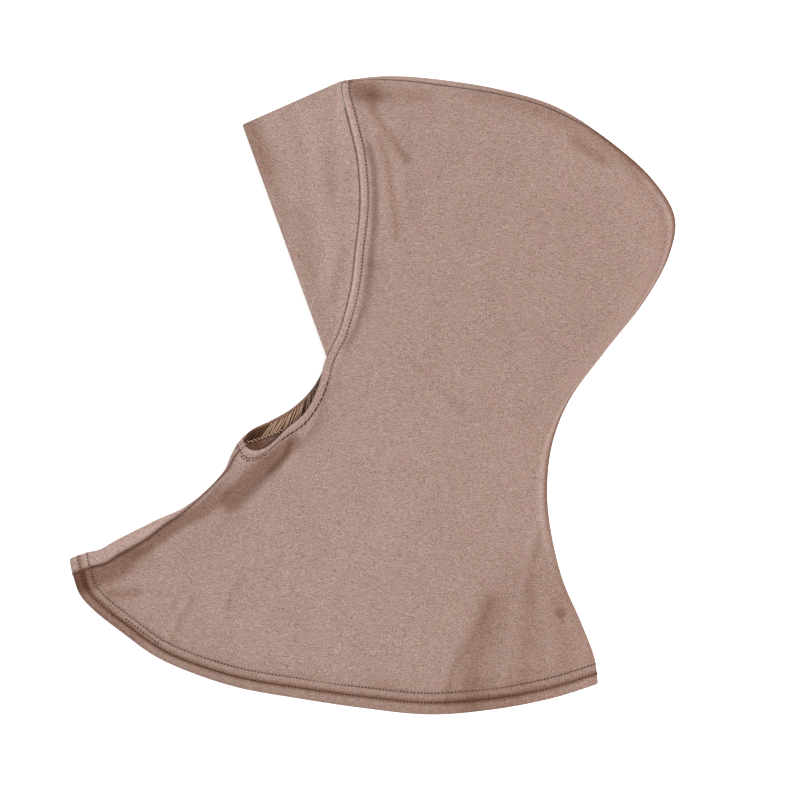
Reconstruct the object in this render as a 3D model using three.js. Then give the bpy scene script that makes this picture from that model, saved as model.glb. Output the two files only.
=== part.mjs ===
import * as THREE from "three";

// Underscarf cap lying on its right side, face opening to -X, crown to +Y, in millimetres.
// It is one soft tube: the bottom hem is its lower mouth and the face opening its upper mouth.
// Two sheets close it, the left panel above and the right panel on the surface. They meet
// along the neck seam in front and along the crown seam, which runs over the head and down
// the back. A share along the tube is 0 at the hem and 1 at the face edge. A share across a
// sheet is 0 at the neck seam and 1 at the crown seam.

// Size of the whole cap as it lies.
const CAP_WIDTH = 362;
const CAP_HEIGHT = 382;

// Cloth. The hem, the binding and the brow band are doubled.
const PANEL_WALL = 1.1;
const HEM_WALL = 2.2;
const BINDING_WALL = 2.2;
const BAND_WALL = 1.8;

// Turned edges and the brow band.
const HEM_DEPTH = 12;
const BINDING_DEPTH = 5;
const BAND_REACH = 65;
const BAND_TUCK = 3;

// How the cap stands open. A closed edge is a half round with a hollow inside the thickest wall.
const EDGE_HOLLOW = 0.6;
const HEAD_LOFT = 15;
const LOFT_EASE = 32;
const BAND_LOFT = 4;

// How far each seam lies round the closed edge, measured along the cloth.
const NECK_LAP = 9.5;
const CROWN_LAP = 5.4;

// Clearance between two pieces that are sewn together.
const SEAM_GAP = 0.3;

// Counts of facets.
const ROWS_ALONG = 32;
const ROWS_ACROSS_UPPER = 15;
const ROWS_ACROSS_LOWER = 8;
const BAND_ROWS_ACROSS = 12;

// Rounding of a lip: how far it goes in, and how much of the wall it takes on each face.
const LIP_DEPTH = 1.2;
const LIP_EASE = 0.3;

const EDGE_RADIUS = Math.max(HEM_WALL, BINDING_WALL, BAND_WALL, PANEL_WALL) + EDGE_HOLLOW;
const QUARTER_TURN = (EDGE_RADIUS * Math.PI) / 2;
const EDGE_STRIP = Math.max(NECK_LAP, CROWN_LAP, QUARTER_TURN) + 2 * EDGE_RADIUS;

// Share by which the outlines are stepped to measure a pace.
const STEP = 0.01;

// Outlines as seen from above: x is a share of CAP_WIDTH and y a share of CAP_HEIGHT,
// from the lower left corner.
const neckOutline = [
  { x: 0.0, y: 0.243 },
  { x: 0.028, y: 0.2525 },
  { x: 0.05, y: 0.2575 },
  { x: 0.072, y: 0.2695 },
  { x: 0.117, y: 0.291 },
  { x: 0.15, y: 0.3065 },
  { x: 0.181, y: 0.319 },
  { x: 0.214, y: 0.34 },
  { x: 0.255, y: 0.38 },
  { x: 0.268, y: 0.407 },
  { x: 0.276, y: 0.421 },
  { x: 0.286, y: 0.433 },
];
const crownOutline = [
  { x: 0.874, y: 0.047 },
  { x: 0.868, y: 0.088 },
  { x: 0.846, y: 0.143 },
  { x: 0.816, y: 0.209 },
  { x: 0.796, y: 0.287 },
  { x: 0.79, y: 0.35 },
  { x: 0.798, y: 0.421 },
  { x: 0.826, y: 0.49 },
  { x: 0.886, y: 0.568 },
  { x: 0.952, y: 0.648 },
  { x: 0.992, y: 0.719 },
  { x: 1.001, y: 0.777 },
  { x: 0.964, y: 0.837 },
  { x: 0.889, y: 0.9 },
  { x: 0.805, y: 0.951 },
  { x: 0.712, y: 0.978 },
  { x: 0.599, y: 0.995 },
  { x: 0.522, y: 0.999 },
  { x: 0.45, y: 0.992 },
];
const hemOutline = [
  neckOutline[0],
  { x: 0.007, y: 0.218 },
  { x: 0.02, y: 0.187 },
  { x: 0.045, y: 0.162 },
  { x: 0.089, y: 0.13 },
  { x: 0.144, y: 0.093 },
  { x: 0.202, y: 0.068 },
  { x: 0.281, y: 0.044 },
  { x: 0.381, y: 0.027 },
  { x: 0.48, y: 0.013 },
  { x: 0.596, y: 0.002 },
  { x: 0.695, y: 0.009 },
  { x: 0.796, y: 0.026 },
  crownOutline[0],
];
const chinCorner = neckOutline[neckOutline.length - 1];
const crownCorner = crownOutline[crownOutline.length - 1];
const faceEdge = [
  { x: 0.4245, y: 0.554 },
  { x: 0.4465, y: 0.598 },
  { x: 0.465, y: 0.662 },
  { x: 0.474, y: 0.73 },
  { x: 0.481, y: 0.797 },
  { x: 0.476, y: 0.868 },
  { x: 0.465, y: 0.915 },
  { x: 0.4555, y: 0.95 },
  { x: 0.4495, y: 0.972 },
  crownCorner,
];
const leftFaceOutline = [
  chinCorner,
  { x: 0.295, y: 0.417 },
  { x: 0.309, y: 0.413 },
  { x: 0.328, y: 0.419 },
  { x: 0.359, y: 0.446 },
  { x: 0.391, y: 0.473 },
  { x: 0.411, y: 0.509 },
  ...faceEdge,
];
const rightFaceOutline = [
  chinCorner,
  { x: 0.303, y: 0.446 },
  { x: 0.334, y: 0.46 },
  { x: 0.368, y: 0.479 },
  { x: 0.397, y: 0.505 },
  { x: 0.415, y: 0.531 },
  ...faceEdge,
];

// Rise of the upper sheet along the tube, as a share of HEAD_LOFT.
const loftAlong = [
  { along: 0.0, share: 0.46 },
  { along: 0.12, share: 0.56 },
  { along: 0.3, share: 0.74 },
  { along: 0.5, share: 0.95 },
  { along: 0.72, share: 1.0 },
  { along: 0.9, share: 0.78 },
  { along: 1.0, share: 0.62 },
];

// Places of the two seams, as shares of NECK_LAP and CROWN_LAP. A positive share lies on
// the upper side of the closed edge and a negative one underneath.
const neckSeamAlong = [
  { along: 0.0, share: 1.12 },
  { along: 0.1, share: 1.08 },
  { along: 0.3, share: 0.9 },
  { along: 0.5, share: 0.5 },
  { along: 0.65, share: 0.24 },
  { along: 0.76, share: 0.15 },
  { along: 0.86, share: 0.32 },
  { along: 1.0, share: 0.6 },
];
const crownSeamAlong = [
  { along: 0.0, share: -0.7 },
  { along: 0.58, share: -0.7 },
  { along: 0.66, share: 0.3 },
  { along: 0.71, share: 0.6 },
  { along: 0.75, share: 0.86 },
  { along: 0.8, share: 0.88 },
  { along: 0.865, share: 1.0 },
  { along: 0.93, share: 0.86 },
  { along: 1.0, share: 0.4 },
];

// The brow band runs out from the face edge along this slope. It ends at the cheek, at these
// shares across the left and the right face edge.
const BAND_CHEEK_SHARES = { left: 0.335, right: 0.3 };
const BAND_SLOPE = { x: -0.56, y: -0.235 };

// Folds of the upper sheet. Their lines are shares of CAP_WIDTH and CAP_HEIGHT, the width
// a share of CAP_WIDTH and the rise a share of HEAD_LOFT, negative for a valley.
const folds = [
  { name: "ridge behind the face binding", width: 0.021, rise: 0.12,
    line: [{ x: 0.505, y: 0.9 }, { x: 0.522, y: 0.81 }, { x: 0.51, y: 0.72 }] },
  { name: "valley beside that ridge", width: 0.02, rise: -0.13,
    line: [{ x: 0.535, y: 0.925 }, { x: 0.548, y: 0.86 }, { x: 0.553, y: 0.78 }] },
  { name: "valley below that ridge", width: 0.02, rise: -0.11,
    line: [{ x: 0.493, y: 0.717 }, { x: 0.484, y: 0.633 }] },
  { name: "ridge along the back", width: 0.022, rise: 0.1,
    line: [{ x: 0.962, y: 0.74 }, { x: 0.93, y: 0.66 }, { x: 0.82, y: 0.54 },
      { x: 0.781, y: 0.42 }, { x: 0.771, y: 0.32 }] },
  { name: "fold at the nape", width: 0.016, rise: -0.1,
    line: [{ x: 0.785, y: 0.29 }, { x: 0.772, y: 0.243 }] },
  { name: "valley along the chin", width: 0.035, rise: -0.2,
    line: [{ x: 0.385, y: 0.44 }, { x: 0.3, y: 0.36 }, { x: 0.17, y: 0.27 }] },
  { name: "soft valley over the hem", width: 0.05, rise: -0.16,
    line: [{ x: 0.708, y: 0.177 }, { x: 0.64, y: 0.07 }] },
  { name: "dent on the crown", width: 0.03, rise: -0.1,
    line: [{ x: 0.88, y: 0.872 }, { x: 0.942, y: 0.846 }] },
];

// Shares at which the rows beside a closed edge lie, from the seam inwards.
const edgeRowShares = [0, 0.08, 0.16, 0.25, 0.35, 0.46, 0.6, 0.78, 1];

function clamp(value, low, high) {
  return Math.min(Math.max(value, low), high);
}

function mix(from, to, share) {
  return from + (to - from) * share;
}

function ease(share) {
  const held = clamp(share, 0, 1);
  return held * held * (3 - 2 * held);
}

// Slope of a table from one row to the next. The ends carry on as their neighbours do.
function slopeAfter(table, row) {
  const start = table[clamp(row, 0, table.length - 2)];
  const end = table[clamp(row + 1, 1, table.length - 1)];
  return (end.share - start.share) / (end.along - start.along);
}

// Slope of a table's smooth line at one of its rows, level where the table turns back.
function slopeAt(table, row) {
  const before = slopeAfter(table, row - 1);
  const after = slopeAfter(table, row);
  return before * after > 0 ? (2 * before * after) / (before + after) : 0;
}

// Value of a table at a place along it, on a smooth line through its rows.
function lookUp(table, along) {
  const last = table.findIndex((row) => row.along >= along);
  if (last < 0) {
    return table[table.length - 1].share;
  }
  if (last === 0) {
    return table[0].share;
  }
  const before = table[last - 1];
  const after = table[last];
  const length = after.along - before.along;
  const part = (along - before.along) / length;
  const leaving = slopeAt(table, last - 1) * part * (1 - part) ** 2;
  const arriving = slopeAt(table, last) * part ** 2 * (1 - part);
  return mix(before.share, after.share, ease(part)) + length * (leaving - arriving);
}

function inPlan(place) {
  return new THREE.Vector3((place.x - 0.5) * CAP_WIDTH, (place.y - 0.5) * CAP_HEIGHT, 0);
}

function outlineCurve(places) {
  const curve = new THREE.CatmullRomCurve3(places.map(inPlan), false, "centripetal");
  curve.arcLengthDivisions = 600;
  return curve;
}

const neckCurve = outlineCurve(neckOutline);
const crownCurve = outlineCurve(crownOutline);
const hemCurve = outlineCurve(hemOutline);

// A sheet seen from above: a patch spanned between its four outlines.
function makeSheet(faceOutline) {
  const faceCurve = outlineCurve(faceOutline);
  const corners = {
    hemNeck: hemCurve.getPointAt(0),
    hemCrown: hemCurve.getPointAt(1),
    faceNeck: faceCurve.getPointAt(0),
    faceCrown: faceCurve.getPointAt(1),
  };
  return function sheetPoint(across, along) {
    const s = clamp(across, 0, 1);
    const t = clamp(along, 0, 1);
    const point = new THREE.Vector3();
    point.addScaledVector(neckCurve.getPointAt(t), 1 - s);
    point.addScaledVector(crownCurve.getPointAt(t), s);
    point.addScaledVector(hemCurve.getPointAt(s), 1 - t);
    point.addScaledVector(faceCurve.getPointAt(s), t);
    point.addScaledVector(corners.hemNeck, -(1 - s) * (1 - t));
    point.addScaledVector(corners.hemCrown, -s * (1 - t));
    point.addScaledVector(corners.faceNeck, -(1 - s) * t);
    point.addScaledVector(corners.faceCrown, -s * t);
    return point;
  };
}

const leftSheet = makeSheet(leftFaceOutline);
const rightSheet = makeSheet(rightFaceOutline);

function sheetOf(side) {
  return side > 0 ? leftSheet : rightSheet;
}

// Millimetres that one share covers square to a line. A slanting line counts as little
// slanted, so that a strip keeps its depth round the chin.
const LEAST_SQUARENESS = 0.8;

function squarePace(move, lineMove, share) {
  const direction = lineMove.clone().normalize();
  const squareness = Math.abs(direction.x * move.y - direction.y * move.x) / move.length();
  return (move.length() * Math.max(squareness, LEAST_SQUARENESS)) / share;
}

// Pace across the sheets at the neck edge or the crown edge, the mean of both sheets.
function edgePace(edgeShare, along) {
  const inwards = edgeShare > 0.5 ? -STEP : STEP;
  const start = Math.min(along, 1 - STEP);
  let total = 0;
  for (const side of [1, -1]) {
    const sheet = sheetOf(side);
    const edge = sheet(edgeShare, start);
    const move = sheet(edgeShare + inwards, start).sub(edge);
    const lineMove = sheet(edgeShare, start + STEP).sub(edge);
    total += squarePace(move, lineMove, STEP);
  }
  return total / 2;
}

// Pace along a sheet at the hem or at the face edge.
function mouthPace(side, across, mouthShare) {
  const inwards = mouthShare > 0.5 ? -STEP : STEP;
  const start = clamp(across, 0, 1 - STEP);
  const sheet = sheetOf(side);
  const edge = sheet(start, mouthShare);
  const move = sheet(start, mouthShare + inwards).sub(edge);
  const lineMove = sheet(start + STEP, mouthShare).sub(edge);
  return squarePace(move, lineMove, STEP);
}

// Paces and widths of the tube in even steps, to look up.
const TUBE_STEPS = 40;
const neckPaceAlong = [];
const crownPaceAlong = [];
const widthAlong = [];
for (let step = 0; step <= TUBE_STEPS; step += 1) {
  const along = step / TUBE_STEPS;
  neckPaceAlong.push({ along, share: edgePace(0, along) });
  crownPaceAlong.push({ along, share: edgePace(1, along) });
  let width = 0;
  for (let part = 0; part < TUBE_STEPS; part += 1) {
    const from = leftSheet(part / TUBE_STEPS, along);
    width += leftSheet((part + 1) / TUBE_STEPS, along).distanceTo(from);
  }
  widthAlong.push({ along, share: width });
}

const neckEdge = { share: 0, inwards: 1, lap: NECK_LAP, seam: neckSeamAlong, pace: neckPaceAlong };
const crownEdge = { share: 1, inwards: -1, lap: CROWN_LAP, seam: crownSeamAlong, pace: crownPaceAlong };

function distanceToLine(point, line) {
  let nearest = Infinity;
  for (let index = 1; index < line.length; index += 1) {
    const segment = new THREE.Line3(inPlan(line[index - 1]), inPlan(line[index]));
    const closest = segment.closestPointToPoint(point, true, new THREE.Vector3());
    nearest = Math.min(nearest, closest.distanceTo(point));
  }
  return nearest;
}

function foldRise(point) {
  let rise = 0;
  for (const fold of folds) {
    const distance = distanceToLine(point, fold.line) / (fold.width * CAP_WIDTH);
    rise += fold.rise * Math.exp(-distance * distance);
  }
  return rise * HEAD_LOFT;
}

// Rise of the upper sheet over its closed edges.
function loftAt(across, along, point) {
  const width = lookUp(widthAlong, along);
  const fromNeck = Math.max(across * width - EDGE_RADIUS, 0);
  const fromCrown = Math.max((1 - across) * width - EDGE_RADIUS, 0);
  const free = (1 - Math.exp(-fromNeck / LOFT_EASE)) * (1 - Math.exp(-fromCrown / LOFT_EASE));
  const held = ease(Math.min(fromNeck, fromCrown) / LOFT_EASE);
  return HEAD_LOFT * lookUp(loftAlong, along) * free + foldRise(point) * held;
}

// A row gives, for a place along the tube and a depth in the cloth, the side that it is on,
// its share across the sheet and its height before the loft.
function edgeRow(edge, panelSide, rowShare) {
  return (along, depth) => {
    const seam = edge.lap * lookUp(edge.seam, along) + (panelSide * SEAM_GAP) / 2;
    const turn = mix(seam, panelSide * EDGE_STRIP, rowShare);
    const side = turn >= 0 ? 1 : -1;
    const angle = Math.min(Math.abs(turn) / EDGE_RADIUS, Math.PI / 2);
    const past = Math.max(Math.abs(turn) - QUARTER_TURN, 0);
    const radius = EDGE_RADIUS - depth;
    const inset = EDGE_RADIUS - radius * Math.cos(angle) + past;
    return {
      side,
      across: edge.share + (edge.inwards * inset) / lookUp(edge.pace, along),
      height: EDGE_RADIUS + side * radius * Math.sin(angle),
    };
  };
}

function middleRow(side, rowShare) {
  return (along, depth) => {
    const inset = EDGE_RADIUS + EDGE_STRIP - QUARTER_TURN;
    const first = inset / lookUp(neckPaceAlong, along);
    const last = 1 - inset / lookUp(crownPaceAlong, along);
    return {
      side,
      across: mix(first, last, rowShare),
      height: EDGE_RADIUS + side * (EDGE_RADIUS - depth),
    };
  };
}

// All rows of one panel, from its seam at one closed edge to its seam at the other.
function panelRows(side, startEdge, endEdge, middleCount) {
  const rows = edgeRowShares.map((share) => edgeRow(startEdge, side, share));
  for (let index = 1; index < middleCount; index += 1) {
    const share = index / middleCount;
    rows.push(middleRow(side, side > 0 ? share : 1 - share));
  }
  const inwardsOut = [...edgeRowShares].reverse();
  rows.push(...inwardsOut.map((share) => edgeRow(endEdge, side, share)));
  return rows;
}

const leftRows = panelRows(1, neckEdge, crownEdge, ROWS_ACROSS_UPPER);
const rightRows = panelRows(-1, crownEdge, neckEdge, ROWS_ACROSS_LOWER);
const ringRows = [...leftRows, ...rightRows];

function tubePoint(row, along, depth) {
  const place = row(along, depth);
  const point = sheetOf(place.side)(place.across, along);
  point.z = place.height;
  if (place.side > 0) {
    point.z += loftAt(place.across, along, point);
  }
  return point;
}

// Place along the tube that lies a depth in from the hem or from the face edge.
function alongFromHem(row, depth) {
  const start = row(0, 0);
  return depth / mouthPace(start.side, start.across, 0);
}

function alongFromFace(row, depth) {
  const start = row(1, 0);
  return 1 - depth / mouthPace(start.side, start.across, 1);
}

// Closed shell between two grids of points. Each grid is a list of lines along the ring.
function shellMesh(name, outer, inner, ringIsClosed, colour) {
  const lines = outer.length;
  const count = outer[0].length;
  const positions = [];
  for (const grid of [outer, inner]) {
    for (const line of grid) {
      for (const point of line) {
        positions.push(point.x, point.y, point.z);
      }
    }
  }
  const indices = [];
  const outerIndex = (line, place) => line * count + (place % count);
  const innerIndex = (line, place) => lines * count + outerIndex(line, place);
  const quad = (a, b, c, d) => indices.push(a, b, c, a, c, d);
  const steps = ringIsClosed ? count : count - 1;
  for (let place = 0; place < steps; place += 1) {
    const next = place + 1;
    for (let line = 0; line < lines - 1; line += 1) {
      const above = line + 1;
      const outerPair = [outerIndex(above, next), outerIndex(above, place)];
      const innerPair = [innerIndex(above, next), innerIndex(line, next)];
      quad(outerIndex(line, place), outerIndex(line, next), ...outerPair);
      quad(innerIndex(line, place), innerIndex(above, place), ...innerPair);
    }
    const top = lines - 1;
    quad(outerIndex(0, next), outerIndex(0, place), innerIndex(0, place), innerIndex(0, next));
    quad(outerIndex(top, place), outerIndex(top, next), innerIndex(top, next), innerIndex(top, place));
  }
  if (!ringIsClosed) {
    const end = count - 1;
    for (let line = 0; line < lines - 1; line += 1) {
      const above = line + 1;
      quad(outerIndex(line, 0), outerIndex(above, 0), innerIndex(above, 0), innerIndex(line, 0));
      quad(outerIndex(above, end), outerIndex(line, end), innerIndex(line, end), innerIndex(above, end));
    }
  }
  const geometry = new THREE.BufferGeometry();
  geometry.setAttribute("position", new THREE.Float32BufferAttribute(positions, 3));
  geometry.setIndex(indices);
  geometry.computeVertexNormals();
  const material = new THREE.MeshStandardMaterial({ color: colour, roughness: 0.95, metalness: 0 });
  const mesh = new THREE.Mesh(geometry, material);
  mesh.name = name;
  return mesh;
}

// A panel runs between the hem and the binding.
function panelMesh(name, rows, colour) {
  const outer = [];
  const inner = [];
  for (let line = 0; line <= ROWS_ALONG; line += 1) {
    const along = rows.map((row) => {
      const first = alongFromHem(row, HEM_DEPTH + SEAM_GAP);
      const last = alongFromFace(row, BINDING_DEPTH + SEAM_GAP);
      return mix(first, last, line / ROWS_ALONG);
    });
    outer.push(rows.map((row, index) => tubePoint(row, along[index], 0)));
    inner.push(rows.map((row, index) => tubePoint(row, along[index], PANEL_WALL)));
  }
  return shellMesh(name, outer, inner, false, colour);
}

// A doubled strip round a mouth of the tube, with a rounded lip at its free edge.
function mouthStrip(name, depth, wall, placeAlong, lipIsFirst, colour) {
  const lines = [
    { depth: 0, ease: LIP_EASE },
    { depth: LIP_DEPTH, ease: 0 },
    { depth: mix(LIP_DEPTH, depth, 0.5), ease: 0 },
    { depth, ease: 0 },
  ];
  if (!lipIsFirst) {
    lines.reverse();
  }
  const gridAt = (face) =>
    lines.map((line) => {
      const inCloth = wall * (face === "outer" ? line.ease : 1 - line.ease);
      return ringRows.map((row) => tubePoint(row, placeAlong(row, line.depth), inCloth));
    });
  return shellMesh(name, gridAt("outer"), gridAt("inner"), true, colour);
}

// The brow band is one doubled strip. It starts at the left cheek, folds round at the crown
// and ends at the right cheek. It is tucked into the face opening under the binding, and its
// front fold is straight from the tip to the left cheek.
const bandSlope = new THREE.Vector3(BAND_SLOPE.x * CAP_WIDTH, BAND_SLOPE.y * CAP_HEIGHT, 0).normalize();
const bindingStep = BINDING_WALL + SEAM_GAP;
const loftForTuck = 2 * (bindingStep + BAND_WALL - EDGE_RADIUS) + SEAM_GAP;
const faceLoft = HEAD_LOFT * loftAlong[loftAlong.length - 1].share;
const bandTip = leftSheet(1, 1).addScaledVector(bandSlope, BAND_REACH);
const frontFold = leftSheet(BAND_CHEEK_SHARES.left, 1).sub(bandTip);

// Reach of the band from a point of the face edge to the front fold.
function reachFrom(point) {
  const toTip = bandTip.clone().sub(point);
  const across = frontFold.x * bandSlope.y - frontFold.y * bandSlope.x;
  return Math.max((frontFold.x * toTip.y - frontFold.y * toTip.x) / across, 0);
}

function bandRows() {
  const rows = [];
  const crownShares = [...edgeRowShares].reverse();
  const cheekRow = (side, share) => (along, depth) => {
    const last = middleRow(side, 1)(along, depth);
    const cheek = side > 0 ? BAND_CHEEK_SHARES.left : BAND_CHEEK_SHARES.right;
    return { ...last, across: mix(cheek, last.across, share) };
  };
  for (let index = 0; index < BAND_ROWS_ACROSS; index += 1) {
    rows.push(cheekRow(1, index / BAND_ROWS_ACROSS));
  }
  rows.push(...crownShares.map((share) => edgeRow(crownEdge, 1, share)));
  rows.push(...edgeRowShares.map((share) => edgeRow(crownEdge, -1, share)));
  for (let index = BAND_ROWS_ACROSS - 1; index >= 0; index -= 1) {
    rows.push(cheekRow(-1, index / BAND_ROWS_ACROSS));
  }
  return rows;
}

// One point of the band. Out is 0 at its tucked edge and 1 at its front fold.
function bandPoint(row, out, depth) {
  const place = row(1, depth);
  const point = sheetOf(place.side)(place.across, 1);
  const loft = loftAt(place.across, 1, leftSheet(place.across, 1));
  const sink = clamp(loft / loftForTuck, 0, 1) * bindingStep;
  const tuck = mix(-SEAM_GAP, BAND_TUCK, clamp(loft / loftForTuck - 1, 0, 1));
  const ahead = mix(-tuck, reachFrom(point), out);
  point.addScaledVector(bandSlope, ahead);
  const past = ease(ahead / BAND_REACH);
  if (place.side > 0) {
    const front = (BAND_LOFT * loft) / faceLoft;
    point.z = place.height + mix(loft - sink, front, past);
  } else {
    point.z = place.height + sink * (1 - ease((ahead - SEAM_GAP) / HEM_DEPTH));
  }
  return point;
}

function browBandMesh(colour) {
  const rows = bandRows();
  const lines = [
    { out: 0, ease: 0 },
    { out: 0.08, ease: 0 },
    { out: 0.18, ease: 0 },
    { out: 0.4, ease: 0 },
    { out: 0.7, ease: 0 },
    { out: 0.98, ease: 0 },
    { out: 1, ease: LIP_EASE },
  ];
  const gridAt = (face) =>
    lines.map((line) => {
      const inCloth = BAND_WALL * (face === "outer" ? line.ease : 1 - line.ease);
      return rows.map((row) => bandPoint(row, line.out, inCloth));
    });
  return shellMesh("brow_band", gridAt("outer"), gridAt("inner"), false, colour);
}

const group = new THREE.Group();
group.add(panelMesh("left_panel", leftRows, 0xad9185));
group.add(panelMesh("right_panel", rightRows, 0xa98d81));
group.add(mouthStrip("bottom_hem", HEM_DEPTH, HEM_WALL, alongFromHem, true, 0xa98c80));
group.add(mouthStrip("face_binding", BINDING_DEPTH, BINDING_WALL, alongFromFace, false, 0xa88a7e));
group.add(browBandMesh(0xb1958a));

export default group;
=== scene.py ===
"""Looks of the underscarf cap: fine cloth, seams, stitches, knit, light and camera.

The fixed frame holds the plain solids. This script builds each cloth piece again as a fine
closed wall in the same place, from the same sizes and tables, and adds the sewing to it.
Lengths are in millimetres until a mesh is made, which is in metres.
"""

import math

import bpy
import numpy as np
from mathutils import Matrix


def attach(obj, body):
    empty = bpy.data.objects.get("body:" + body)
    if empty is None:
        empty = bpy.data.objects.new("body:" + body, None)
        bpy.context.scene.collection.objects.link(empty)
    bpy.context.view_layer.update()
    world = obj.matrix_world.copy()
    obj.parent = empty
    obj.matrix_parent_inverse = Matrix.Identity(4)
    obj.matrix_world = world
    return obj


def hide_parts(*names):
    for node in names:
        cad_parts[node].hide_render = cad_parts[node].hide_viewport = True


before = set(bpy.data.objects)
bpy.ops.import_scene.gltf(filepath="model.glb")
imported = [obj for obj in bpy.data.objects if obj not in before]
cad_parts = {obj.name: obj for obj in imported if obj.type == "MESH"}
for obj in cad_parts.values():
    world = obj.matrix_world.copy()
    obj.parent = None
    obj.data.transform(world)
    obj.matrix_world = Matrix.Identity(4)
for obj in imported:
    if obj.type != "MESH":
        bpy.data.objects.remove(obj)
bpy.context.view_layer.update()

MM = 0.001

# Size of the cap as it lies, and its cloth.
CAP_WIDTH = 362.0
CAP_HEIGHT = 382.0
PANEL_WALL = 1.1
HEM_WALL = 2.2
BINDING_WALL = 2.2
BAND_WALL = 1.8
HEM_DEPTH = 12.0
BINDING_DEPTH = 5.0
BAND_REACH = 65.0
BAND_TUCK = 3.0
EDGE_HOLLOW = 0.6
HEAD_LOFT = 15.0
LOFT_EASE = 32.0
BAND_LOFT = 4.0
NECK_LAP = 9.5
CROWN_LAP = 5.4
EDGE_RADIUS = HEM_WALL + EDGE_HOLLOW
QUARTER_TURN = EDGE_RADIUS * math.pi / 2
EDGE_STRIP = NECK_LAP + 2 * EDGE_RADIUS

# Sewing.
STITCH_PITCH = 2.1
HEM_LOWER_ROW = 5.4
HEM_UPPER_ROW = 11.2
BINDING_ROW = 4.7
OVERLOCK_PITCH = 2.0

# Outlines from above, as shares of the width and the height from the lower left corner.
NECK_OUTLINE = [
    (0.0, 0.243), (0.028, 0.2525), (0.05, 0.2575), (0.072, 0.2695), (0.117, 0.291),
    (0.15, 0.3065), (0.181, 0.319), (0.214, 0.34), (0.255, 0.38), (0.268, 0.407),
    (0.276, 0.421), (0.286, 0.433),
]
CROWN_OUTLINE = [
    (0.874, 0.047), (0.868, 0.088), (0.846, 0.143), (0.816, 0.209), (0.796, 0.287),
    (0.79, 0.35), (0.798, 0.421), (0.826, 0.49), (0.886, 0.568), (0.952, 0.648),
    (0.992, 0.719), (1.001, 0.777), (0.964, 0.837), (0.889, 0.9), (0.805, 0.951),
    (0.712, 0.978), (0.599, 0.995), (0.522, 0.999), (0.45, 0.992),
]
HEM_OUTLINE = [
    NECK_OUTLINE[0], (0.007, 0.218), (0.02, 0.187), (0.045, 0.162), (0.089, 0.13),
    (0.144, 0.093), (0.202, 0.068), (0.281, 0.044), (0.381, 0.027), (0.48, 0.013),
    (0.596, 0.002), (0.695, 0.009), (0.796, 0.026), CROWN_OUTLINE[0],
]
FACE_EDGE = [
    (0.4245, 0.554), (0.4465, 0.598), (0.465, 0.662), (0.474, 0.73), (0.481, 0.797),
    (0.476, 0.868), (0.465, 0.915), (0.4555, 0.95), (0.4495, 0.972), CROWN_OUTLINE[-1],
]
LEFT_FACE_OUTLINE = [
    NECK_OUTLINE[-1], (0.295, 0.417), (0.309, 0.413), (0.328, 0.419), (0.359, 0.446),
    (0.391, 0.473), (0.411, 0.509), *FACE_EDGE,
]
RIGHT_FACE_OUTLINE = [
    NECK_OUTLINE[-1], (0.303, 0.446), (0.334, 0.46), (0.368, 0.479), (0.397, 0.505),
    (0.415, 0.531), *FACE_EDGE,
]

# Tables along the tube, from the hem, 0, to the face edge, 1: place and share.
LOFT_ALONG = [
    (0.0, 0.46), (0.12, 0.56), (0.3, 0.74), (0.5, 0.95), (0.72, 1.0), (0.9, 0.78), (1.0, 0.62),
]
NECK_SEAM_ALONG = [
    (0.0, 1.12), (0.1, 1.08), (0.3, 0.9), (0.5, 0.5), (0.65, 0.24), (0.76, 0.15),
    (0.86, 0.32), (1.0, 0.6),
]
CROWN_SEAM_ALONG = [
    (0.0, -0.7), (0.58, -0.7), (0.66, 0.3), (0.71, 0.6), (0.75, 0.86), (0.8, 0.88),
    (0.865, 1.0), (0.93, 0.86), (1.0, 0.4),
]

# The brow band runs out from the face edge along this slope. It ends at the cheek, at these
# shares across the left, 1, and the right, -1, face edge.
BAND_CHEEK_SHARES = {1: 0.335, -1: 0.3}
BAND_SLOPE = np.array([-0.56 * CAP_WIDTH, -0.235 * CAP_HEIGHT])
BAND_SLOPE = BAND_SLOPE / np.linalg.norm(BAND_SLOPE)

# Folds of the upper sheet: width as a share of the cap's width, rise as a share of the
# head's loft, and the line from above.
FOLDS = [
    (0.021, 0.12, [(0.505, 0.9), (0.522, 0.81), (0.51, 0.72)]),
    (0.02, -0.13, [(0.535, 0.925), (0.548, 0.86), (0.553, 0.78)]),
    (0.02, -0.11, [(0.493, 0.717), (0.484, 0.633)]),
    (0.022, 0.1, [(0.962, 0.74), (0.93, 0.66), (0.82, 0.54), (0.781, 0.42), (0.771, 0.32)]),
    (0.016, -0.1, [(0.785, 0.29), (0.772, 0.243)]),
    (0.035, -0.2, [(0.385, 0.44), (0.3, 0.36), (0.17, 0.27)]),
    (0.05, -0.16, [(0.708, 0.177), (0.64, 0.07)]),
    (0.03, -0.1, [(0.88, 0.872), (0.942, 0.846)]),
]


def ease(share):
    held = np.clip(share, 0.0, 1.0)
    return held * held * (3 - 2 * held)


def mix(start, end, share):
    return start + (end - start) * share


def smooth_step(start, end, leaving, arriving, share):
    """From start to end, with these slopes at the two ends."""
    rest = 1 - share
    return mix(start, end, ease(share)) + share * rest * (leaving * rest - arriving * share)


def bell(distance, width):
    return np.exp(-((distance / width) ** 2))


def in_plan(places):
    return (np.array(places) - 0.5) * np.array([CAP_WIDTH, CAP_HEIGHT])


def running_length(line):
    """Length along a line up to each of its points."""
    return np.concatenate([[0.0], np.cumsum(np.linalg.norm(np.diff(line, axis=0), axis=1))])


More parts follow.
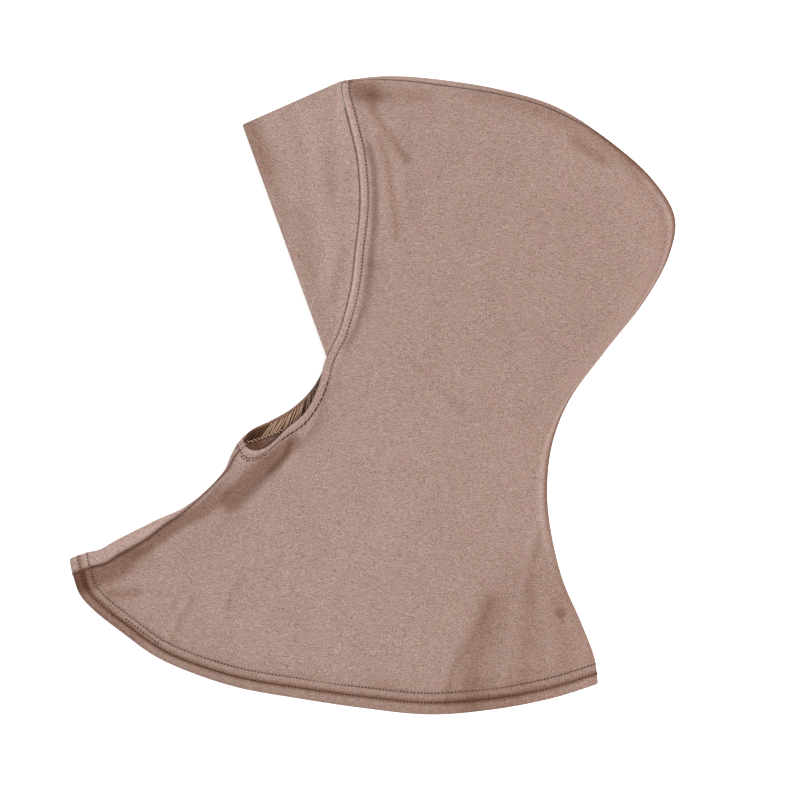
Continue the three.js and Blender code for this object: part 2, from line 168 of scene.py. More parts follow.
def look_up(table, along):
    """Value of a table at places along it, on a smooth line through its rows."""
    places, shares = (np.array(values, dtype=float) for values in zip(*table))
    slopes = np.diff(shares) / np.diff(places)
    before = np.concatenate([slopes[:1], slopes])
    after = np.concatenate([slopes, slopes[-1:]])
    same_way = before * after > 0
    total = np.where(same_way, before + after, 1.0)
    tangents = np.where(same_way, 2 * before * after / total, 0.0)
    held = np.clip(along, places[0], places[-1])
    row = np.clip(np.searchsorted(places, held, side="left") - 1, 0, len(places) - 2)
    length = places[row + 1] - places[row]
    part = (held - places[row]) / length
    leaving, arriving = length * tangents[row], length * tangents[row + 1]
    return smooth_step(shares[row], shares[row + 1], leaving, arriving, part)


def read_at(wanted, run, values):
    """Points of a line at the wanted places of its run."""
    return np.stack([np.interp(wanted, run, column) for column in values.T], axis=-1)


class Outline:
    """Smooth line through a few places, read by its share of length."""

    STEPS = 48

    def __init__(self, places):
        points = in_plan(places)
        before = 2 * points[0] - points[1]
        after = 2 * points[-1] - points[-2]
        points = np.vstack([before, points, after])
        dense = [self._segment(*points[index:index + 4]) for index in range(len(points) - 3)]
        self.points = np.vstack([*dense, points[-2:-1]])
        run = running_length(self.points)
        self.length = run[-1]
        self.shares = run / self.length

    def _segment(self, p0, p1, p2, p3):
        gap0 = max(np.linalg.norm(p1 - p0), 1e-6) ** 0.5
        gap1 = max(np.linalg.norm(p2 - p1), 1e-6) ** 0.5
        gap2 = max(np.linalg.norm(p3 - p2), 1e-6) ** 0.5
        slope1 = ((p1 - p0) / gap0 - (p2 - p0) / (gap0 + gap1) + (p2 - p1) / gap1) * gap1
        slope2 = ((p2 - p1) / gap1 - (p3 - p1) / (gap1 + gap2) + (p3 - p2) / gap2) * gap1
        share = (np.arange(self.STEPS) / self.STEPS)[:, None]
        return smooth_step(p1, p2, slope1, slope2, share)

    def at(self, share):
        return read_at(share, self.shares, self.points)


neck_line = Outline(NECK_OUTLINE)
crown_line = Outline(CROWN_OUTLINE)
hem_line = Outline(HEM_OUTLINE)
face_lines = {1: Outline(LEFT_FACE_OUTLINE), -1: Outline(RIGHT_FACE_OUTLINE)}


def one_sheet(side, across, along):
    """Places from above of a sheet, spanned between its four outlines."""
    s = np.clip(across, 0.0, 1.0)
    t = np.clip(along, 0.0, 1.0)
    face = face_lines[side]
    s1 = s[..., None]
    t1 = t[..., None]
    spanned = (1 - s1) * neck_line.at(t) + s1 * crown_line.at(t)
    spanned = spanned + (1 - t1) * hem_line.at(s) + t1 * face.at(s)
    corners = (1 - s1) * (1 - t1) * hem_line.at(0.0) + s1 * (1 - t1) * hem_line.at(1.0)
    corners = corners + (1 - s1) * t1 * face.at(0.0) + s1 * t1 * face.at(1.0)
    return spanned - corners


def sheet_places(side, across, along):
    across, along, side = np.broadcast_arrays(across, along, side)
    left = one_sheet(1, across, along)
    right = one_sheet(-1, across, along)
    return np.where((side > 0)[..., None], left, right)


STEP = 0.01
LEAST_SQUARENESS = 0.8


def border_pace(place, border, line_share):
    """Millimetres that one share covers square to a border of the sheets. Place gives the
    points at a share off the border and at one along it."""
    start = np.clip(line_share, 0.0, 1 - STEP)
    edge = place(border, start)
    move = place(border + (-STEP if border > 0.5 else STEP), start) - edge
    line_move = place(border, start + STEP) - edge
    length = np.linalg.norm(move, axis=-1)
    cross = np.abs(line_move[..., 0] * move[..., 1] - line_move[..., 1] * move[..., 0])
    squareness = cross / (length * np.linalg.norm(line_move, axis=-1))
    return length * np.maximum(squareness, LEAST_SQUARENESS) / STEP


def edge_pace(edge_share, along):
    """Millimetres that one share across covers, as the mean of both sides."""
    def one_side(side):
        return border_pace(lambda across, at: sheet_places(side, across, at), edge_share, along)

    return (one_side(1) + one_side(-1)) / 2


def mouth_pace(side, across, mouth_share):
    return border_pace(lambda along, at: sheet_places(side, at, along), mouth_share, across)


TUBE_STEPS = 40
tube_shares = np.linspace(0.0, 1.0, TUBE_STEPS + 1)
neck_paces = list(zip(tube_shares, edge_pace(0.0, tube_shares)))
crown_paces = list(zip(tube_shares, edge_pace(1.0, tube_shares)))
across_grid = sheet_places(1, tube_shares[None, :], tube_shares[:, None])
tube_widths = np.linalg.norm(np.diff(across_grid, axis=1), axis=2).sum(axis=1)
tube_widths = list(zip(tube_shares, tube_widths))


def distance_to_line(points, places):
    """Distance of each point to a line of a few places."""
    line = in_plan(places)
    nearest = np.full(points.shape[:-1], np.inf)
    for start, end in zip(line[:-1], line[1:]):
        run = end - start
        share = np.clip(((points - start) @ run) / (run @ run), 0.0, 1.0)
        closest = start + share[..., None] * run
        nearest = np.minimum(nearest, np.linalg.norm(points - closest, axis=-1))
    return nearest


def fold_rise(points):
    rise = np.zeros(points.shape[:-1])
    for width, height, places in FOLDS:
        rise += height * bell(distance_to_line(points, places), width * CAP_WIDTH)
    return rise * HEAD_LOFT


def edge_distances(across, along):
    width = look_up(tube_widths, along)
    from_neck = np.maximum(across * width - EDGE_RADIUS, 0.0)
    from_crown = np.maximum((1 - across) * width - EDGE_RADIUS, 0.0)
    return from_neck, from_crown


def loft_at(across, along, points):
    """Rise of the upper sheet over its closed edges."""
    from_neck, from_crown = edge_distances(across, along)
    free = (1 - np.exp(-from_neck / LOFT_EASE)) * (1 - np.exp(-from_crown / LOFT_EASE))
    held = ease(np.minimum(from_neck, from_crown) / LOFT_EASE)
    return HEAD_LOFT * look_up(LOFT_ALONG, along) * free + fold_rise(points) * held


def waves(points, size, seed, count=14):
    """Soft random relief of about unit height, made of crossing sine waves."""
    chance = np.random.default_rng(seed)
    total = np.zeros(points.shape[:-1])
    for _ in range(count):
        angle = chance.uniform(0, 2 * math.pi)
        length = size * chance.uniform(0.7, 1.5)
        phase = chance.uniform(0, 2 * math.pi)
        direction = np.array([math.cos(angle), math.sin(angle)]) * 2 * math.pi / length
        total += np.sin(points @ direction + phase)
    return total * math.sqrt(2 / count) / 2


# A closed edge: its share across, the way inwards, the lap of its seam and their tables.
NECK_EDGE = (0.0, 1.0, NECK_LAP, NECK_SEAM_ALONG, neck_paces)
CROWN_EDGE = (1.0, -1.0, CROWN_LAP, CROWN_SEAM_ALONG, crown_paces)
PANEL_GAP = 0.3

# How closely rows and lines draw together at the seams, at a strip's lip and at the mouths.
EDGE_HUG = 1.15
LIP_HUG = 1.1
MOUTH_HUG = 0.45


def edge_row(edge, panel_side, row_share):
    """Row beside a closed edge: for places along the tube and a depth in the cloth it gives
    the side, the share across and the height before the loft."""
    edge_share, inwards, lap, seams, paces = edge

    def place(along, depth):
        seam = lap * look_up(seams, along) + panel_side * PANEL_GAP / 2
        turn = mix(seam, panel_side * EDGE_STRIP, row_share)
        side = np.where(turn >= 0, 1, -1)
        angle = np.minimum(np.abs(turn) / EDGE_RADIUS, math.pi / 2)
        past = np.maximum(np.abs(turn) - QUARTER_TURN, 0.0)
        radius = EDGE_RADIUS - depth
        inset = EDGE_RADIUS - radius * np.cos(angle) + past
        across = edge_share + inwards * inset / look_up(paces, along)
        height = EDGE_RADIUS + side * radius * np.sin(angle)
        return side, across, height

    return place


def middle_row(side, row_share):
    def place(along, depth):
        inset = EDGE_RADIUS + EDGE_STRIP - QUARTER_TURN
        first = inset / look_up(neck_paces, along)
        last = 1 - inset / look_up(crown_paces, along)
        across = mix(first, last, row_share)
        height = EDGE_RADIUS + side * (EDGE_RADIUS - depth)
        return side + 0 * across, across, height + 0 * across

    return place


def panel_rows(side, edge_count, middle_count):
    """Rows over one panel from seam to seam: the left panel's start at the neck, the right
    panel's at the crown."""
    start_edge, end_edge = (NECK_EDGE, CROWN_EDGE)[::side]
    edge_shares = np.linspace(0.0, 1.0, edge_count) ** EDGE_HUG
    rows = [edge_row(start_edge, side, share) for share in edge_shares]
    for share in np.linspace(0.0, 1.0, middle_count + 1)[1:-1]:
        rows.append(middle_row(side, share if side > 0 else 1 - share))
    rows += [edge_row(end_edge, side, share) for share in edge_shares[::-1]]
    return rows


def shares_from_mouth(rows, depths, mouth_share):
    """Shares along that the given depths at a mouth cover in each row. Depths are one for
    each line, or a grid with one for each line and row."""
    parts = [row(np.array(mouth_share), 0.0) for row in rows]
    side, across, _ = (np.array(values, dtype=float) for values in zip(*parts))
    lines = np.reshape(depths, (np.shape(depths)[0], -1) if np.ndim(depths) else (1, 1))
    return lines / mouth_pace(side, across, mouth_share)


def along_from_hem(rows, depths):
    return shares_from_mouth(rows, depths, 0.0)


def along_from_face(rows, depths):
    return 1 - shares_from_mouth(rows, depths, 1.0)


# Depths of the overlocked edge inside the face opening.
OVERLOCK_START = 2.4
OVERLOCK_END = 9.4

# Darkest place of the painted shade inside the opening, behind the chin.
CHIN_HOLLOW = in_plan([(0.297, 0.432)])[0]

# Creases of the upper side: half width, rise, change of the painted light and shade, shade below 0
# and light above 0, and the line from above in shares.
CREASES = [
    (2.6, -1.3, -0.12, [(0.499, 0.95), (0.511, 0.928), (0.53, 0.9), (0.557, 0.865)]),
    (
        2.6, -1.5, -0.06,
        [(0.496, 0.881), (0.504, 0.85), (0.506, 0.806), (0.505, 0.759), (0.499, 0.704)],
    ),
    (3.2, -1.3, -0.11, [(0.499, 0.699), (0.491, 0.652), (0.477, 0.609), (0.457, 0.578)]),
    (2.4, 0.8, 0.02, [(0.509, 0.884), (0.519, 0.85), (0.52, 0.806), (0.519, 0.755)]),
    (2.6, -1, -0.1, [(0.512, 0.9), (0.525, 0.859), (0.532, 0.814), (0.539, 0.771), (0.54, 0.743)]),
    (2.2, 0.7, 0.04, [(0.484, 0.649), (0.467, 0.605), (0.444, 0.558), (0.431, 0.526)]),
    (2.6, -0.8, -0.06, [(0.434, 0.536), (0.424, 0.495), (0.411, 0.454), (0.391, 0.429)]),
    (3.2, 0.5, 0.03, [(0.375, 0.396), (0.355, 0.374), (0.328, 0.353), (0.298, 0.325)]),
    (2.0, -0.8, -0.13, [(0.366, 0.424), (0.361, 0.41), (0.35, 0.396), (0.333, 0.38)]),
    (2.0, 0.6, 0.05, [(0.376, 0.422), (0.371, 0.405), (0.358, 0.386)]),
    (3.5, 0.5, 0.06, [(0.285, 0.404), (0.278, 0.388), (0.265, 0.369)]),
    (1.5, -0.5, -0.05, [(0.564, 0.551), (0.607, 0.512), (0.65, 0.473)]),
    (2.2, -0.9, -0.06, [(0.171, 0.115), (0.184, 0.144), (0.204, 0.182)]),
    (2, 0.6, 0.03, [(0.162, 0.115), (0.177, 0.151), (0.196, 0.182)]),
    (1.8, -0.7, -0.05, [(0.262, 0.166), (0.273, 0.193), (0.287, 0.217)]),
    (1.6, -0.4, -0.03, [(0.332, 0.212), (0.353, 0.247)]),
    (3, -0.9, -0.08, [(0.085, 0.251), (0.134, 0.253)]),
    (3.2, -1, -0.14, [(0.07, 0.19), (0.093, 0.19), (0.113, 0.192)]),
    (3.2, -0.9, -0.05, [(0.096, 0.225), (0.133, 0.237)]),
    (6, -0.2, -0.15, [(0.01, 0.209), (0.033, 0.173), (0.07, 0.143), (0.106, 0.115)]),
    (3.4, -1.2, -0.14, [(0.834, 0.895), (0.859, 0.878), (0.883, 0.864)]),
    (3, -1, -0.08, [(0.925, 0.859), (0.941, 0.84)]),
    (2.4, -0.9, -0.06, [(0.781, 0.287), (0.764, 0.234), (0.756, 0.193)]),
    (2.4, 0.7, 0.03, [(0.772, 0.303), (0.753, 0.247), (0.744, 0.193)]),
    (
        2.6, -1.4, -0.06,
        [(0.695, 0.177), (0.673, 0.134), (0.646, 0.096), (0.63, 0.061), (0.623, 0.017)],
    ),
    (8, -0.6, -0.13, [(0.696, 0.171), (0.683, 0.127), (0.666, 0.091), (0.66, 0.017)]),
    (2.6, 1, 0.02, [(0.683, 0.177), (0.661, 0.134), (0.633, 0.096), (0.613, 0.058)]),
    (26, -1.4, -0.08, [(0.736, 0.017), (0.759, 0.099), (0.782, 0.177)]),
    (3.5, 0.6, 0.03, [(0.733, 0.177), (0.726, 0.115), (0.713, 0.055)]),
    (4, 0.5, 0.03, [(0.781, 0.193), (0.789, 0.13), (0.792, 0.06)]),
    (3, -0.5, -0.03, [(0.759, 0.177), (0.754, 0.115), (0.749, 0.052)]),
    (3, -0.5, -0.03, [(0.806, 0.177), (0.816, 0.115), (0.822, 0.064)]),
    (6.5, -1.8, -0.27, [(0.45, 0.978), (0.475, 0.974), (0.5, 0.97)]),
    (5, -0.8, -0.1, [(0.5, 0.968), (0.585, 0.966)]),
    (4, -0.5, -0.04, [(0.55, 0.039), (0.501, 0.055)]),
]

# The deep fold under the chin: its line, the half width of its painted shade, depth and painted
# shade.
THROAT_FOLD = [(0.365, 0.426), (0.341, 0.404), (0.315, 0.38), (0.29, 0.355), (0.267, 0.333)]
THROAT_WIDTH = 6.4
THROAT_DEPTH = 1.6
THROAT_SHADE = 0.27

# How much deeper than its place the hem's stitching wanders, along the hem, and the length
# in from the edge over which the wandering sets in.
HEM_WANDER = [
    (0.0, 0.0), (0.24, 0.0), (0.36, 0.7), (0.52, 1.2), (0.68, 1.7), (0.85, 1.1), (1.0, 0.9),
]
WANDER_START = 4.0

# Heights of the swollen lip, the sag between the hem's rows and the turned face edge.
LIP_SWELL = 1.1
BAND_SAG = 0.3
BINDING_SWELL = 0.5

# Soft ridges, above 0, and grooves, below 0, beside an edge or a seam: height in
# millimetres, distance from the line, half width. Shades are the same for the painted light,
# above 0, and the painted shade, below 0.
HEM_RIDGES = [
    (-0.75, HEM_LOWER_ROW, 0.8), (-0.45, HEM_UPPER_ROW, 0.6), (0.45, HEM_UPPER_ROW + 3.0, 2.4),
]
HEM_PUCKERS = [(0.13, HEM_LOWER_ROW, 1.8), (0.078, HEM_UPPER_ROW, 1.5)]
HEM_SHADES = [
    (-0.0676, HEM_LOWER_ROW + 1.2, 1.1), (-0.05, HEM_UPPER_ROW, 1.2),
    (-0.04, HEM_LOWER_ROW + 9.0, 5.0),
]
BINDING_RIDGES = [
    (-0.45, BINDING_ROW, 0.65), (-0.3, BINDING_ROW + 1.6, 1.8), (0.5, BINDING_ROW + 5.5, 2.6),
]
BINDING_PUCKERS = [(0.09, BINDING_ROW, 1.3)]
BINDING_SHADES = [
    (0.14, 1.1, 0.9), (0.05, 2.6, 1.6), (-0.12, 0.0, 0.5), (0.05, BINDING_ROW + 2.0, 1.4),
]
OVER_BAND_SHADES = [(0.12, 1.1, 0.9), (0.072, 0.0, 0.5)]
NECK_RIDGES = [(1.1, -2.8, 2.3), (-1.0, 0.0, 0.8)]
NECK_VALLEY = [(-2.2, 1.5, 5.0)]
NECK_GROOVE_SHADE = [(-0.2, 0.0, 0.9)]
CROWN_GROOVE = (-0.35, 0.0, 0.7)
CROWN_VALLEY = (-0.6, 5.0, 3.5)
CROWN_VALLEY_IN_FRONT = (-2.7, 7.0, 5.5)
BACK_RIDGE = [(1.1, 6.0, 2.6)]

# Strength and half widths, before it and past it, of the painted shade in the hem's lower
# groove, and the painted shade of the lip.
GROOVE_SHADE = 0.26
GROOVE_SHADE_WIDTHS = (1.6, 2.4)
LIP_SHADE = 0.11

# Stretches along the tube, or across it for the brow band: from, to, length of soft ends.
OVER_BAND = (0.4, 1.2, 0.15)
CROWN_SEAM_SHOWN = (0.64, 1.2, 0.04)
CROWN_SEAM_SHADED = (0.66, 0.86, 0.06)
CROWN_LIP_LIT = (0.85, 1.3, 0.06)
BACK_RIDGE_SHOWN = (0.2, 0.6, 0.12)
BACK_RIDGE_LIT = (0.16, 0.62, 0.12)
BACK_ROLLED = (-0.2, 0.72, 0.08)
BACK_ROLLED_DEEP = (0.2, 0.75, 0.12)
BACK_UPPER = (0.48, 0.66, 0.08)

# Unevenness of loose cloth: height, length of the waves and seed.
LOOSE_WAVES = [(0.3, 46.0, 3), (0.12, 19.0, 4), (0.05, 8.0, 5)]

# Unevenness of the hem: the same, then slant and stretch of the waves, and their distance
# from the edge with its half width.
HEM_WAVES = [(0.3, 19.0, 11, 0.0, 3.0, 7.5, 5.0), (0.22, 5.0, 12, 0.9, 0.35, 3.0, 2.4)]

# Slant of the hem's puckers, height of the lip over the crown seam and of its puckers.
PUCKER_SLANT = 0.6
CROWN_LIP = 0.4
CROWN_PUCKER = 0.14
CROWN_PUCKER_PITCH = 3.1

# Painted shade behind the neck seam: its width in millimetres, strength and start past the seam.
NECK_SHADE_WIDTH = [(0.0, 14.0), (0.18, 13.0), (0.34, 7.0), (0.48, 7.0), (0.66, 9.0), (1.0, 9.0)]
NECK_SHADE = [
    (0.0, 0.27), (0.1, 0.25), (0.4, 0.26), (0.55, 0.24), (0.7, 0.19), (0.86, 0.02), (1.0, 0.0),
]
NECK_SHADE_START = [(0.0, 0.0), (0.48, 0.0), (0.62, 2.0), (0.8, 3.0), (1.0, 3.0)]
# Painted light on the roll before the neck seam, along the tube.
NECK_ROLL_PAINTED_LIGHT = [(0.0, 0.15), (0.45, 0.15), (0.65, 0.06), (1.0, 0.05)]

# Lengths over which the reliefs fade in from the edges of the cloth, how far in a strip's
# relief is worked out, and how much of that the rolled edges keep.
EDGE_CALM = 16.0
FACE_CALM = 12.0
HEM_CALM_START = 6.0
HEM_CALM = 8.0
STRIP_REACH = 30.0
EDGE_HOLD = 0.3

# Painted light fall-off: the cloth is painted a little darker to the right of this place, over
# this length, and painted lighter at the crown's end of the hem.
FALL_OFF = 0.035
FALL_OFF_START = -43.0
FALL_OFF_LENGTH = 150.0
CORNER_LIGHT = 0.07

# Painted shades inside the opening: near its edge, in the bed of the overlock, below and at the
# chin.
INSIDE_SHADE = 0.18
BED_SHADE = 0.33
BELOW_BED_SHADE = 0.12
CHIN_SHADE = 0.32

# A crease's painted shade lies on its line, and its relief this far to the left of that.
CREASE_SHADE_SHIFT = np.array([1.8, 0.0])


def ridges(distance, table):
    return sum(height * bell(distance - place, width) for height, place, width in table)


def between(value, low, high, soft):
    return ease((value - low) / soft + 0.5) * ease((high - value) / soft + 0.5)


def swell(share):
    """Half a wave between the shares 0 and 1, and 0 outside them."""
    return np.sin(math.pi * np.clip(share, 0, 1))


def ripple(run, pitch):
    return np.sin(2 * math.pi * run / pitch)


def hem_relief(from_hem, run):
    """Swollen lip, sunk band and two stitched grooves of the double-needle hem."""
    past_row = from_hem - HEM_LOWER_ROW
    rise = LIP_SWELL * swell(from_hem / HEM_LOWER_ROW) + ridges(from_hem, HEM_RIDGES)
    rise = rise - BAND_SAG * swell(past_row / (HEM_UPPER_ROW - HEM_LOWER_ROW))
    puckers = ripple(run + PUCKER_SLANT * past_row, STITCH_PITCH)
    rise = rise + puckers * ridges(from_hem, HEM_PUCKERS)
    for height, size, seed, slant, stretch, place, width in HEM_WAVES:
        line = np.stack([run + slant * from_hem, stretch * from_hem], axis=-1)
        rise = rise + height * waves(line, size, seed) * bell(from_hem - place, width)
    return rise


def binding_relief(from_face, run):
    """Rounded turned edge with one stitched groove, and the puffed cloth beside it."""
    puckers = ripple(run, STITCH_PITCH) * ridges(from_face, BINDING_PUCKERS)
    edge = BINDING_SWELL * swell(from_face / BINDING_ROW)
    return edge + ridges(from_face, BINDING_RIDGES) + puckers


def crease_relief(points, creases):
    """Rise of the creases and the painted light and shade along them."""
    rise = np.zeros(points.shape[:-1])
    painted_light_and_shade = np.zeros(points.shape[:-1])
    for width, height, change, places in creases:
        rise += height * bell(distance_to_line(points + CREASE_SHADE_SHIFT, places), width)
        painted_light_and_shade += change * bell(distance_to_line(points, places), width)
    return rise, painted_light_and_shade


def edge_turn(side, inset):
    """Length round a closed edge, from its outermost line, for an inset seen from above."""
    round_part = EDGE_RADIUS * np.arccos(1 - np.clip(inset / EDGE_RADIUS, 0.0, 1.0))
    return side * np.where(inset > EDGE_RADIUS, QUARTER_TURN + inset - EDGE_RADIUS, round_part)


def neck_relief(past_seam, along):
    """Full roll in front of the neck seam, the seam's groove and the valley behind it."""
    behind = 1 - ease((along - 0.8) / 0.15)
    return ridges(past_seam, NECK_RIDGES) + behind * ridges(past_seam, NECK_VALLEY)


def neck_painted_light_and_shade(past_seam, along):
    """Painted shade behind the neck seam and in its groove, and painted light on the roll before
    it.
    """
    width = 0.6 * look_up(NECK_SHADE_WIDTH, along)
    start = past_seam - look_up(NECK_SHADE_START, along)
    shade = ease((start + 0.6) / 1.2) * (1 - ease((start - width) / width))
    roll = look_up(NECK_ROLL_PAINTED_LIGHT, along) * (1 - ease((past_seam + 2.0) / 2.0))
    return roll - look_up(NECK_SHADE, along) * shade + ridges(past_seam, NECK_GROOVE_SHADE)


def crown_relief(past_seam, inset, along):
    """Puckered lip over the crown seam, its groove, the dent at its front end and the ridge
    down the back."""
    lip = CROWN_LIP + CROWN_PUCKER * ripple(along * crown_line.length, CROWN_PUCKER_PITCH)
    front = ease((along - 0.9) / 0.08)
    valley = [mix(*ends, front) for ends in zip(CROWN_VALLEY, CROWN_VALLEY_IN_FRONT)]
    seam = ridges(past_seam, [(lip, -1.9, 1.2), CROWN_GROOVE, valley])
    back = ridges(inset, BACK_RIDGE) * between(along, *BACK_RIDGE_SHOWN)
    return between(along, *CROWN_SEAM_SHOWN) * seam + back


def crown_painted_light_and_shade(past_seam, inset, along):
    """Painted shades and painted lights beside the crown seam and down the back."""
    lip = 0.06 * between(along, *CROWN_LIP_LIT) * (1 - ease(past_seam + 1.0))
    rolled = -mix(0.12, 0.45, between(along, *BACK_ROLLED_DEEP)) * between(along, *BACK_ROLLED)
    upper = -0.05 * between(along, *BACK_UPPER)
    ridge = 0.12 * between(along, *BACK_RIDGE_LIT)
    seam = -0.09 * between(along, *CROWN_SEAM_SHADED)
    back = ridges(inset, [(rolled, 0.0, 2.2), (upper, 6.0, 5.0), (ridge, 4.2, 2.2)])
    return lip + back + ridges(past_seam, [(seam, 3.0, 6.0)])


def hem_painted_shade(from_hem):
    """Painted shade, darkest in the groove of the lower row, fading over the band to the upper
    row.
    """
    past = from_hem - HEM_LOWER_ROW
    groove = bell(past, np.where(past < 0, *GROOVE_SHADE_WIDTHS))
    lip = 1 - ease(from_hem / HEM_LOWER_ROW)
    return ridges(from_hem, HEM_SHADES) - GROOVE_SHADE * groove - LIP_SHADE * lip


def binding_painted_light_and_shade(from_face, across):
    """Painted light along its rim, above all where the brow band goes under it, and painted shade
    at its outer brink.
    """
    over_band = between(across, *OVER_BAND)
    return ridges(from_face, BINDING_SHADES) + over_band * ridges(from_face, OVER_BAND_SHADES)


def inside_painted_shade(plan, from_face):
    """Painted shade on the inner side of the hood, darker towards its face opening."""
    past_bed = from_face - OVERLOCK_END
    bed = between(from_face, OVERLOCK_START - 0.4, OVERLOCK_END, 0.8)
    below = ease(past_bed / 2.0) * bell(past_bed, 16.0)
    chin = bell(np.linalg.norm(plan - CHIN_HOLLOW, axis=-1), 11.0)
    painted_light_and_shade = 1 - INSIDE_SHADE * bell(from_face, 34.0) - BED_SHADE * bed
    return painted_light_and_shade - BELOW_BED_SHADE * below - CHIN_SHADE * chin


def row_places(rows, along, depth):
    """Side, share across and height of each row, for grids of places and depths."""
    parts = [row(along[:, index], depth[:, index]) for index, row in enumerate(rows)]
    return (np.stack(values, axis=1) for values in zip(*parts))


def lifted(plan, height):
    return np.concatenate([plan, height[..., None]], axis=-1)


def tube_points(rows, along, depth):
    """Points of the tube's cloth and their painted light and shade. Along is a grid of places,
    with a line for each step from the hem to the face."""
    side, across, height = row_places(rows, along, depth)
    plan = sheet_places(side, across, along)
    from_hem = along * mouth_pace(side, across, 0.0)
    from_face = (1 - along) * mouth_pace(side, across, 1.0)
    neck_inset = across * look_up(neck_paces, along)
    crown_inset = (1 - across) * look_up(crown_paces, along)
    past_neck = edge_turn(side, neck_inset) - NECK_LAP * look_up(NECK_SEAM_ALONG, along)
    past_crown = edge_turn(side, crown_inset) - CROWN_LAP * look_up(CROWN_SEAM_ALONG, along)
    hem_place = from_hem - look_up(HEM_WANDER, across) * ease(from_hem / WANDER_START)
    throat = np.exp(-((distance_to_line(plan, THROAT_FOLD) / THROAT_WIDTH) ** 4))
    creases, crease_painted_light_and_shade = crease_relief(plan, CREASES)

    loose = ease(np.minimum(neck_inset, crown_inset) / EDGE_CALM)
    hold = mix(EDGE_HOLD, 1.0, loose)
    hem_run = across * hem_line.length
    face_run = across * face_lines[1].length
    slow = sum(rise * waves(plan, size, seed) for rise, size, seed in LOOSE_WAVES) + creases
    rise = loft_at(across, along, plan) - THROAT_DEPTH * throat * loose
    rise = rise + slow * loose * ease((from_hem - HEM_CALM_START) / HEM_CALM)
    rise = rise + hem_relief(hem_place, hem_run) * (from_hem < STRIP_REACH) * hold
    rise = rise + binding_relief(from_face, face_run) * (from_face < STRIP_REACH) * hold
    seams = neck_relief(past_neck, along) * ease(from_face / FACE_CALM)
    seams = seams + crown_relief(past_crown, crown_inset, along)
    rise = rise + seams * ease(from_hem / EDGE_CALM)
    points = lifted(plan, height + np.where(side > 0, rise, 0.0))

    # Painted light and shade of the upper side; the inner side takes the painted shade of the
    # hollow.
    shade = crease_painted_light_and_shade - THROAT_SHADE * throat + neck_painted_light_and_shade(past_neck, along)
    painted_light_and_shade = 1.0 + shade * ease((from_face - BINDING_ROW) / 2.0)
    painted_light_and_shade = painted_light_and_shade + hem_painted_shade(hem_place) + binding_painted_light_and_shade(from_face, across)
    painted_light_and_shade = painted_light_and_shade + crown_painted_light_and_shade(past_crown, crown_inset, along)
    painted_light_and_shade = painted_light_and_shade - FALL_OFF * ease((plan[..., 0] - FALL_OFF_START) / FALL_OFF_LENGTH)
    painted_light_and_shade = painted_light_and_shade + CORNER_LIGHT * ease((across - 0.8) / 0.12) * bell(from_hem, 12.0)
    painted_light_and_shade = np.where(side > 0, painted_light_and_shade, 1.0)
    return points, np.where(depth > PANEL_WALL / 2, inside_painted_shade(plan, from_face), painted_light_and_shade)


def spread(count, hug):
    """Even shares from 0 to 1, drawn together at both ends by the share hug."""
    even = np.linspace(0.0, 1.0, count)
    return even - hug * np.sin(2 * math.pi * even) / (2 * math.pi)


# Meshes and pieces.


def linked(name, data):
    thing = bpy.data.objects.new(name, data)
    bpy.context.collection.objects.link(thing)
    return thing


def mesh_object(name, points, faces, painted_light_and_shade_values=None):
    mesh = bpy.data.meshes.new(name)
    mesh.from_pydata((np.asarray(points) * MM).tolist(), [], faces)
    # Each point carries its painted light and shade, which the cloth's material multiplies into
    # its colour.
    if painted_light_and_shade_values is not None:
        attribute = mesh.attributes.new("painted_light_and_shade", "FLOAT", "POINT")
        attribute.data.foreach_set("value", np.ravel(painted_light_and_shade_values).astype(np.float32))
    mesh.shade_smooth()
    return linked(name, mesh)


def quads(*corners):
    return np.stack([np.ravel(corner) for corner in corners], axis=1).tolist()


def shell_object(name, outer, inner, ring_is_closed):
    """Closed wall between two grids, each of points and their painted light and shade."""
    points = np.concatenate([outer[0].reshape(-1, 3), inner[0].reshape(-1, 3)])
    painted_light_and_shade_values = np.concatenate([outer[1].ravel(), inner[1].ravel()])
    layer = outer[1].size
    grid = np.arange(layer).reshape(outer[1].shape)
    if ring_is_closed:
        grid = np.hstack([grid, grid[:, :1]])
        rims = [grid[0, ::-1], grid[-1]]
    else:
        rims = [np.concatenate([grid[:, 0], grid[-1, 1:], grid[-2::-1, -1], grid[0, -2::-1]])]
    here, beside, beyond, ahead = grid[:-1, :-1], grid[:-1, 1:], grid[1:, 1:], grid[1:, :-1]
    faces = quads(here, beside, beyond, ahead)
    faces += quads(here + layer, ahead + layer, beyond + layer, beside + layer)
    for rim in rims:
        faces += quads(rim[:-1], rim[1:], rim[1:] + layer, rim[:-1] + layer)
    return mesh_object(name, points, faces, painted_light_and_shade_values)


def walled_piece(name, points_of, rows, grid, taken, wall, ring_is_closed=False):
    """Cloth of a wall's thickness over a grid. Taken is how far both its faces draw in."""
    taken = taken + np.zeros_like(grid)
    outer = points_of(rows, grid, taken)
    inner = points_of(rows, grid, wall - taken)
    return shell_object(name, outer, inner, ring_is_closed)


def rounded_lip(from_lip, wall):
    """How far the faces of a doubled strip draw in, to a lip as round as its wall."""
    inside = np.clip(from_lip / (wall / 2), 0.0, 1.0)
    return 0.5 * wall * (1 - np.sqrt(1 - (1 - inside) ** 2))[:, None]


def panel_piece(name, rows, lines):
    first = along_from_hem(rows, HEM_DEPTH)
    last = along_from_face(rows, BINDING_DEPTH)
    along = mix(first, last, spread(lines, MOUTH_HUG)[:, None])
    return walled_piece(name, tube_points, rows, along, 0.0, PANEL_WALL)


